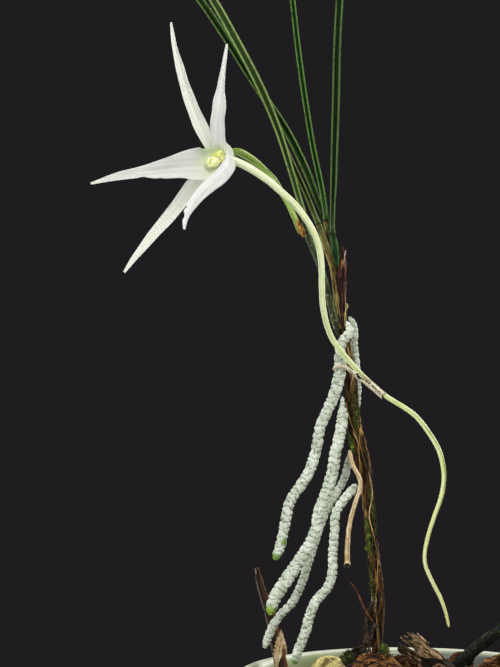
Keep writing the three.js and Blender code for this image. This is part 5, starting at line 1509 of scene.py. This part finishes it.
chunks = {
    "barkChunkFront": {
        "node": "bark_chunk_front", "finish": orangeBark, "slot": "orange_bark", "along": (1, 0.1, 0.15),
        "tone": 0.9, "lump": 7.0,
        "corners": [[-19, -13, 76], [-17, -20, 74], [-6, -22, 73], [3, -19, 75], [3, -9, 75], [-16, -7, 75],
            [-16.1, -11, 83.8], [-13.6, -10, 86.2], [-10.6, -10, 87.6], [-6.2, -10, 87.2], [-3.5, -10, 85.2],
            [-1.2, -11, 82.4], [-10, -16, 83.6], [-4, -16, 82.6]],
        "moss": [(-6.6, -10, 87.0, 1.5), (-16, -9, 82, 2.0)],
    },
    "barkChunkLeft": {
        "node": "bark_chunk_left", "finish": darkBark, "slot": "bark", "along": (0.1, 0.9, 0.4), "tone": 0.3,
        "lump": 4.0,
        "corners": [[-13.2, 2, 73], [-9.2, 2.4, 73], [-9, 9, 73], [-13.2, 9.5, 73], [-14.4, 2.8, 81],
            [-18, 4, 83.9], [-13.6, 2.6, 87.2], [-10.9, 3.4, 87.8], [-11.2, 8, 85.5], [-16.8, 8, 83.4]],
        "moss": [(-16.6, 3.2, 84.2, 3.4)],
    },
    "barkChunkRight": {
        "node": "bark_chunk_right", "finish": orangeBark, "slot": "orange_bark", "along": (0.3, 0.9, 0.3),
        "tone": 1.0, "lump": 4.5,
        "corners": [[16, 3, 74], [24, 1, 74], [27, 9, 74], [17, 12, 74], [17.5, 4, 80.8], [21.5, 3, 83.2],
            [26, 5, 86.4], [26, 9, 85], [19, 10, 81.5]],
        "moss": [],
    },
    "barkChunkSmall": {
        "node": None, "finish": orangeBark, "slot": "orange_bark", "along": (0.9, 0.2, 0.3), "tone": 1.0,
        "lump": 4.0,
        "corners": [[10, 17, 73], [19, 17, 73], [19, 23, 73], [11, 23, 73], [11.2, 17.5, 80.4],
            [14.6, 18, 82.8], [18.5, 19, 83.6], [17, 22.5, 82], [12.5, 22, 80.4]],
        "moss": [],
    },
    "barkChunkMiddle": {
        "node": None, "finish": orangeBark, "slot": "orange_bark", "along": (0.7, 0.3, 0.5), "tone": 0.35,
        "lump": 4.0,
        "corners": [[-7, -7, 74], [4, -7, 74], [4, -1, 74], [-6.4, -1, 74], [-6.4, -5, 85.4],
            [-3.2, -5, 86.4], [-1.8, -5, 84.6], [2.5, -5, 83.2], [-5, -1.5, 84.8], [3, -1.5, 82.6]],
        "moss": [],
    },
    "barkChunkOuter": {
        "node": "bark_chunk_outer", "finish": darkBark, "slot": "bark", "along": (0.8, 0.3, 0.1),
        "tone": 0.55, "lump": 4.5,
        "corners": [[23, -9, 74], [34, -8, 75], [34, 1, 75], [24, 2, 74], [25, -7, 80], [31, -6, 82],
            [31.5, -1, 81], [26, 0, 80]],
        "moss": [(27, -4, 82, 3.0)],
    },
}


def chunkPiece(name, spec):
    piece = remeshed(hullPiece(name, spec["corners"]), 0.36, 0.8, 5)
    weather(piece, spec["along"], 0.85, 0.95, spec["lump"], spec["corners"][0][0])
    setLayer(piece, "tone", spec["tone"])
    mossSpots(piece, spec["moss"])
    piece.data.materials.append(spec["finish"])
    return piece


for name, spec in chunks.items():
    piece = settle(chunkPiece(name, spec), spec["slot"], *([spec["node"]] if spec["node"] else []))
    if spec["moss"]:
        growMoss(piece, name + "Moss", spec["slot"])

splitSlab = {
    "along": (0.80, 0.05, -0.6), "voxel": 0.27,
    "fibres": {
        "seed": 8, "count": 90, "length": 5.0, "radius": 0.17, "lowest": 82.0,
        "tips": [((-0.5, 4.6, 90.0), (4.6, 4.6, 86.4), 0.34), ((-1.2, 5.4, 89.0), (4, 5.4, 85.8), 0.42),
            ((0.9, 3.6, 89.9), (5.2, 3.6, 86), 0.3), ((-3.0, 3.6, 87.1), (2, 3.4, 84.4), 0.5),
            ((-3.3, 5, 86.2), (1.6, 5, 83.8), 0.45), ((-1.9, 2.9, 86.9), (2.6, 2.8, 84), 0.36),
            ((2.0, 4.2, 89.6), (6.4, 4.2, 85.9), 0.32), ((-2.2, 6.2, 88.2), (3, 6, 84.6), 0.4)],
    },
    "layers": [
        [[-3.4, 3, 86.4], [-2.6, 8, 85.4], [-0.5, 2, 83], [-0.6, 9, 82.6], [11, 0, 79], [12, 10, 79],
            [11, 0, 75], [12, 10, 75], [5.6, 1, 84], [5.6, 9, 83.6]],
        [[-1.2, 4, 88.7], [0.8, 3, 89.7], [1.6, 7, 88.8], [3, 2.4, 84], [3, 8.6, 84], [11, 2, 80.8],
            [11.4, 8.4, 80.6], [8, 2, 77], [8, 9, 77]],
        [[3.4, 4, 87.3], [5.2, 6.5, 86.6], [5, 3, 84], [12.6, 3.5, 80.2], [13, 7.6, 79.6], [10, 2.6, 76],
            [12, 9, 76]]],
}


def splinterLines(host, grain, spec, draws):
    # start, end, radius and upper side of each fibre: first along the host's grain, then past its end
    co, away, hollow = pointsOf(host) / mm, normalsOf(host), layerOf(host, "hollow")
    outside = (away[:, 1] < -0.2) | (away[:, 2] > 0.3)
    seen = np.flatnonzero(outside & (hollow < 0.5) & (co[:, 2] > spec["lowest"]))
    lines = []
    for k in range(spec["count"]):
        pick = seen[draws.randrange(len(seen))]
        flow = unit(grain - away[pick] * (grain @ away[pick]))
        reach = flow * (spec["length"] * (0.3 + 0.7 * draws.random()) / 2)
        radius = spec["radius"] * (0.4 + 0.6 * draws.random())
        lines.append((co[pick] - reach, co[pick] + reach, radius, away[pick]))
    return lines + [(np.array(tip), np.array(foot), radius, np.array([0, -0.7, 0.7]))
                    for tip, foot, radius in spec["tips"]]


def splinters(host, name, along, spec, material):
    # torn fibres; one that crosses a hollow of its host takes on the host's painted shade there
    draws = random.Random(spec["seed"])
    u = np.linspace(-1, 1, 8)[:, None, None]
    angle = (np.arange(6) * math.pi / 3)[None, :, None]
    verts, faces, tone = [], [], []
    for start, end, radius, up in splinterLines(host, unit(np.array(along)), spec, draws):
        over, bend = np.cross(up, unit(end - start)), draws.random() - 0.5
        wide = radius * (1 - 0.85 * np.abs(u) ** 1.7)
        middle = (start + end) / 2 + (end - start) * u / 2 + up * 0.10 + over * bend * u**2 * 0.7
        ring = over * wide * 1.2 * np.cos(angle) + up * wide * 0.8 * np.sin(angle)
        faces += [tuple(len(verts) + v for v in f) for f in ringFaces(8, 6)]
        tone += [draws.random()] * 48
        verts += list((middle + ring).reshape(-1, 3))
    nearest = kdtree.KDTree(len(host.data.vertices))
    for k, place in enumerate(pointsOf(host) / mm):
        nearest.insert(place, k)
    nearest.balance()
    deep = layerOf(host, "hollow")[[nearest.find(place)[1] for place in verts]]
    layers = {"tone": tone, "hollow": deep, "mossy": 0.0}
    return makePiece(name, np.array(verts) * mm, faces, material, layers)


def slabPiece():
    # three torn layers in one; its lower front under an arch at the left is darkened as painted shade, and
    # one lobe at its lower left is darkened too
    piece = fused("barkSplitSlab", [hullPiece("layer", layer) for layer in splitSlab["layers"]],
                  splitSlab["voxel"], slabBark, 2)
    weather(piece, splitSlab["along"], 0.5, 0.8, 4.0, 4.0)
    x, _, z = pointsOf(piece).T / mm
    arch = 84.1 - np.where(x < 5, 0.5, -0.2) * (5 - x)
    under = np.clip((arch - z) / 0.5, 0, 1) * (normalsOf(piece)[:, 1] < 0.2)
    lobe = 0.5 * np.clip((86.3 - z - 0.8 * (x + 0.3)) / 2, 0, 1)
    # under and lobe join the hollow layer, which the finish darkens
    setLayer(piece, "hollow", np.maximum(np.maximum(layerOf(piece, "hollow"), under), lobe))
    setLayer(piece, "tone", 0.5)
    setLayer(piece, "mossy", 0.0)
    return piece


slab = slabPiece()
torn = splinters(slab, "slabSplinters", splitSlab["along"], splitSlab["fibres"], slabBark)
settle(torn, "bark", "bark_split_chip")
settle(slab, "bark", "bark_split_chip")
print("stage: bark chunks and slab")

bedSpec = {
    "seed": 21, "top": 72.0, "heap": 3.2, "heapPlace": (6, -8), "heapReach": 500, "rings": 60, "sides": 120,
    "stem": (-8.4, 0, 4.0),  # place and reach of what stands on the bed: the stem, then the larger pieces
    "clear": [(-8, -14, 11), (-14.6, 5.6, 6), (21, 6.5, 6.5), (29, -4, 6.5), (6, 5, 8), (-19.6, 24, 6),
              (-32.4, 19.7, 4), (-32, 15.2, 3.5)],
}
strewn = {
    "barkChips": {
        "count": 7, "size": (12.5, 8.2, 4.2), "voxel": 0.8, "clear": [bedSpec["stem"], *bedSpec["clear"]],
        "fade": 2.0, "edge": (33.6, 1.0),
        "sizes": {
            "Spacing": 0.0062, "Density": 60000.0, "Scale low": 0.72, "Scale high": 1.2, "Tilt": 0.5,
            "Lift": 0.0016, "Seed": 4,
        },
    },
    "barkCrumbs": {
        "count": 6, "size": (3.4, 2.2, 1.3), "voxel": 0, "clear": [bedSpec["stem"]], "fade": 1.0,
        "edge": (37.6, 0.6),
        "sizes": {
            "Spacing": 0.0021, "Density": 400000.0, "Scale low": 0.6, "Scale high": 1.5, "Tilt": 1.2,
            "Lift": 0.0009, "Seed": 9,
        },
    },
}


def bedRadius(z):
    # the pot's inner wall, less a small gap
    return 40.4 - 0.175 * (76 - z)


def moundPiece():
    # what lies under the chips: fine dark bark, from the pot's floor up to a low heap
    rings, sides, top = bedSpec["rings"], bedSpec["sides"], bedSpec["top"]
    ways = [(math.cos(a), math.sin(a)) for a in np.linspace(0, circle, sides, endpoint=False)]
    wall = [(bedRadius(z), z) for z in (8, 30, 55, top - 3)]
    profile = [(bedRadius(6) - 3, 4.7), *wall, (bedRadius(top) - 0.6, top - 0.8)]
    verts = [(r * x, r * y, z) for r, z in profile for x, y in ways]
    hx, hy = bedSpec["heapPlace"]
    for k in range(rings, 0, -1):
        r = (bedRadius(top) - 1.6) * k / rings
        for x, y in ((r * x, r * y) for x, y in ways):
            heap = bedSpec["heap"] * math.exp(-((x - hx) ** 2 + (y - hy) ** 2) / bedSpec["heapReach"])
            verts.append((x, y, top + 0.4 + heap + 0.9 * noise.fractal(Vector((x, y, 3)) / 6, 1.0, 2.0, 4)))
    dark = barkLikeFinish("barkMould", (0.010, 0.006, 0.004), (0.040, 0.022, 0.013), (0.12, 0.07, 0.04),
                          0.003, (1, 1, 1))
    return makePiece("barkMould", np.array(verts) * mm, ringFaces(len(profile) + rings, sides), dark)


def chipPiece(name, draws, size, voxel):
    # an uneven box of eight moved corners; with a voxel size it is weathered too
    sizes = [s * (0.85 + 0.3 * draws.random()) for s in size]
    ends = (-0.5, 0.5)
    corners = [[(c + 0.3 * (draws.random() - 0.5)) * s for c, s in zip((x, y, z), sizes)]
               for x in ends for y in ends for z in ends]
    piece = hullPiece(name, corners)
    if voxel:
        remeshed(piece, voxel, 0.7, 2)
        weather(piece, (1, 0, 0), 0.7, 0.5, 4.0, draws.random() * 50)
    else:
        setLayer(piece, "hollow", 0.0)
    spot = piece.data.attributes.new("chipPlace", "FLOAT_VECTOR", "POINT")
    spot.data.foreach_set("vector", (pointsOf(piece) + draws.random() * 0.1).ravel())
    return piece


def strew(mould, name, spec, draws, material):
    # loose bark over the bed's top, up to its edge, but not where a larger piece stands
    x, y, z = pointsOf(mould).T / mm
    edge, fade = spec["edge"]
    share = (z > bedSpec["top"] - 0.2) * np.clip((edge - np.hypot(x, y)) / fade, 0, 1)
    for px, py, reach in spec["clear"]:
        share *= np.clip((np.hypot(x - px, y - py) - reach) / spec["fade"], 0, 1)
    setLayer(mould, "share", share)
    shapes = [chipPiece(f"{name}{k}", draws, spec["size"], spec["voxel"]) for k in range(spec["count"])]
    stock = shelf(name, shapes)
    settle(scatter(mould, name, stock, spec["sizes"], material), "bark", "bark_bed")
    clearShelf(stock)


chipBark = chunkBarkFinish("chipBark", (0.030, 0.014, 0.008), (0.15, 0.070, 0.034), (0.34, 0.19, 0.095),
                           (0.52, 0.38, 0.24), placeLayer="chipPlace")
mould = moundPiece()
draws = random.Random(bedSpec["seed"])
for name, spec in strewn.items():
    strew(mould, name, spec, draws, chipBark)
settle(mould, "bark", "bark_bed")
print("stage: bed of bark")


# pebble, mossy twig, dry stick and flake
pebble = {"centre": (-19.6, 24, 76.9), "radii": (5.2, 4.1, 3.8)}


def pebblePiece():
    f = Finish("pebbleStone", 0.7)
    tint, speck = f.grain(0.0024, 5.0, None, 0.6), f.grain(0.0006)
    f.body = f.mix(f.span(tint, 0.42, 0.58), (0.15, 0.11, 0.018), (0.70, 0.60, 0.21))
    f.coat((0.035, 0.018, 0.006), speck, 0.55, 0.62, 0.0, 0.9)
    piece = ball("pebble", pebble["centre"], pebble["radii"], level=6)
    co = pointsOf(piece)
    pushed(piece, (0.22 * roughness(co, 0.004, 3, 2.0) + 0.05 * roughness(co, 0.0008, 2, 5.0)) * mm)
    piece.data.materials.append(f.done(f.plus(tint, f.times(speck, 0.4)), 0.0003, 0.6))
    return piece


settle(pebblePiece(), "pebble", "pebble")

twig = {
    "points": [[4, 13.5, 73], [9, 14, 76.3], [13, 14.5, 79.4], [19, 15, 84.4], [25, 15, 88.9],
        [31, 14.6, 93.6], [36.5, 14, 98]],
    "radius": [[0, 1.6], [0.3, 1.5], [0.5, 1.65], [0.75, 1.45], [1, 1.3]],
    "sizes": {
        "Step": 0.00025, "Sides": 48, "Lump size": 0.0022, "Lump depth": 0.5, "Ribs": 5, "Rib depth": 0.05,
        "Twist": 90.0, "Seed": 0.4,
    },
}
twigBark = barkLikeFinish("twigBark", (0.002, 0.002, 0.002), (0.007, 0.009, 0.007), (0.045, 0.052, 0.036),
                          0.0016, (1, 1, 0.5), moss=(0.05, 0.08, 0.02))
piece = tubePiece("mossyTwig", twig, twigBark)
upper = normalsOf(piece)[:, 2] * 1.6 - 0.75 + 0.5 * roughness(pointsOf(piece), 0.004, 2, 8.0)
setLayer(piece, "mossy", np.clip(upper, 0, 1))
settle(piece, "mossy_bark", "mossy_twig")
growMoss(piece, "twigMoss", "mossy_bark", {"Spacing": 0.00045, "Scale low": 0.35, "Scale high": 0.8})


def stickFinish():
    f = Finish("stickBrown", 0.85, Specular_IOR_Level=0.3)
    across = f.layer("across")
    fibre = f.streaks(4.0, 0.62, 0.3, across=5.0, along=9.0)
    f.body = f.ramp(fibre, [(0.36, (0.010, 0.006, 0.005)), (0.52, (0.040, 0.022, 0.015)),
                            (0.66, (0.20, 0.12, 0.075))])
    warm = f.mix(f.span(fibre, 0.40, 0.60), (0.14, 0.045, 0.015), (0.46, 0.21, 0.080))
    f.coat(warm, across, -0.95, -0.30, 0.85, 0.0)
    f.coat((0.34, 0.30, 0.25), across, 0.62, 0.88, 0.0, 0.8)
    return f.done(fibre, 0.0005, 0.9)


dryStick = {
    "points": [[-31.3, 21, 71.5], [-32.5, 21.5, 78.5], [-34.0, 21.5, 85.6], [-35.8, 21.5, 93.3],
        [-37.5, 21.5, 98.6], [-39.3, 21.5, 104.6]],
    "half": [[0, 1.7], [0.3, 1.75], [0.5, 1.4], [0.7, 1.3], [0.85, 1.05], [1, 0.75]],
    "cup": [[0, 1.3], [1, 1.5]], "facing": (0, -1, 0), "rings": 220, "spans": 22, "wave": 0.16, "waves": 13,
    "folds": [(0.3, 0.1, 0.25, 0, 1)],
    "notches": [(1, 0.98, 0.035, 0.8), (-1, 0.95, 0.01, 0.4), (-1, 0.80, 0.012, 0.5),
        (-1, 0.72, 0.008, 0.35), (-1, 0.55, 0.01, 0.3), (1, 0.66, 0.012, 0.3), (-1, 0.86, 0.008, 0.3)],
}
settle(bladePiece("dryStick", dryStick, stickFinish()), "dry_brown", "dry_stick")

flake = {
    "points": [[-33.6, 15, 71.5], [-33.9, 15.4, 77], [-33.7, 15.6, 81], [-33.2, 15.4, 85],
        [-32.6, 15.2, 89]],
    "half": [[0, 0.8], [0.35, 0.45], [0.5, 0.42], [0.62, 1.2], [0.76, 1.2], [0.9, 0.7], [1, 0.1]],
    "cup": [[0, 0.5], [1, 0.3]], "facing": (0, -1, 0), "rings": 150, "spans": 20, "thickness": 0.8,
    "wave": 0.15, "waves": 9, "soft": 0.02, "folds": [(-0.1, 0.12, 0.4, 0.1, 1.0)],
    "notches": [(1, spot, 0.012, 0.45) for spot in (0.60, 0.66, 0.72, 0.78, 0.84, 0.90)]
               + [(-1, 0.7, 0.02, 0.35)],
}
flakeSplinter = {
    "points": [[-32.5, 15.3, 88.2], [-32.1, 14.9, 86.4], [-31.4, 14.9, 84.2], [-31.2, 15.1, 82.4]],
    "radius": [[0, 0.3], [0.5, 0.34], [1, 0.12]],
    "sizes": {"Step": 0.0002, "Sides": 12, "Ribs": 3, "Rib depth": 0.2},
}
flakeTan = barkLikeFinish("flakeTan", (0.20, 0.11, 0.045), (0.76, 0.56, 0.31), (0.93, 0.82, 0.60), 0.0014,
                          (1, 1, 0.5))
settle(bladePiece("barkFlake", flake, flakeTan), "dry_tan", "bark_flake")
settle(tubePiece("flakeSplinter", flakeSplinter, flakeTan), "dry_tan", "bark_flake")

mossPads = [  # name, slot, node that it belongs to, centre, radii, long way, brightness
    ("mossFoot", "mossy_bark", (), (-6.7, -2.3, 86.5), (2.0, 1.2, 1.3), (0.5, 0, 1), 0.42),
    ("mossFlank", "stem", ("stem",), (-10.6, -1.15, 115.5), (0.9, 0.5, 4.8), (-0.10, 0, 1), 0.42),
    ("mossKnob", "stem", ("stem",), (-11.15, -0.9, 112.0), (0.6, 0.55, 0.65), (0, 0, 1), 0.5),
    ("mossUpper", "stem", ("stem",), (-15.0, -1.4, 139.0), (0.6, 0.4, 2.5), (-0.25, 0, 1), 0.42),
    ("mossBelow", "stem", ("stem",), (-9.9, -0.8, 105.6), (0.4, 0.45, 2.4), (-0.10, 0, 1), 0.3),
]
padSizes = {"Spacing": 0.00050, "Seed": 8, "Scale low": 0.35, "Scale high": 0.75}


def mossPad(name, centre, radii, axis, bright):
    pad = ball(name, centre, radii, axis)
    pushed(pad, 0.42 * roughness(pointsOf(pad), 0.0012, 3, 1.0) * mm)
    setLayer(pad, "tone", np.clip(bright + 0.9 * roughness(pointsOf(pad), 0.0011, 2, 3.0), 0, 1))
    setLayer(pad, "mossy", 1.0)
    pad.data.materials.append(mossGreen)
    return pad


for name, slotName, nodes, *shape in mossPads:
    pad = settle(mossPad(name, *shape), slotName, *nodes)
    growMoss(pad, name + "Sprigs", slotName, padSizes)
clearShelf(sprigs)
print("stage: pebble, twig, stick and flake")


# floor
def floorPiece():
    bm = bmesh.new()
    bmesh.ops.create_circle(bm, cap_ends=True, segments=96, radius=studio["floorRadius"])
    paper = Finish("palePaper", 0.9)
    paper.body = paper.mix(paper.grain(0.05, 2.0), studio["floorColour"], shade(studio["floorColour"], 0.97))
    piece = placed("floor", meshFrom("floor", bm))
    piece.data.materials.append(paper.done())
    return piece


floor = floorPiece()
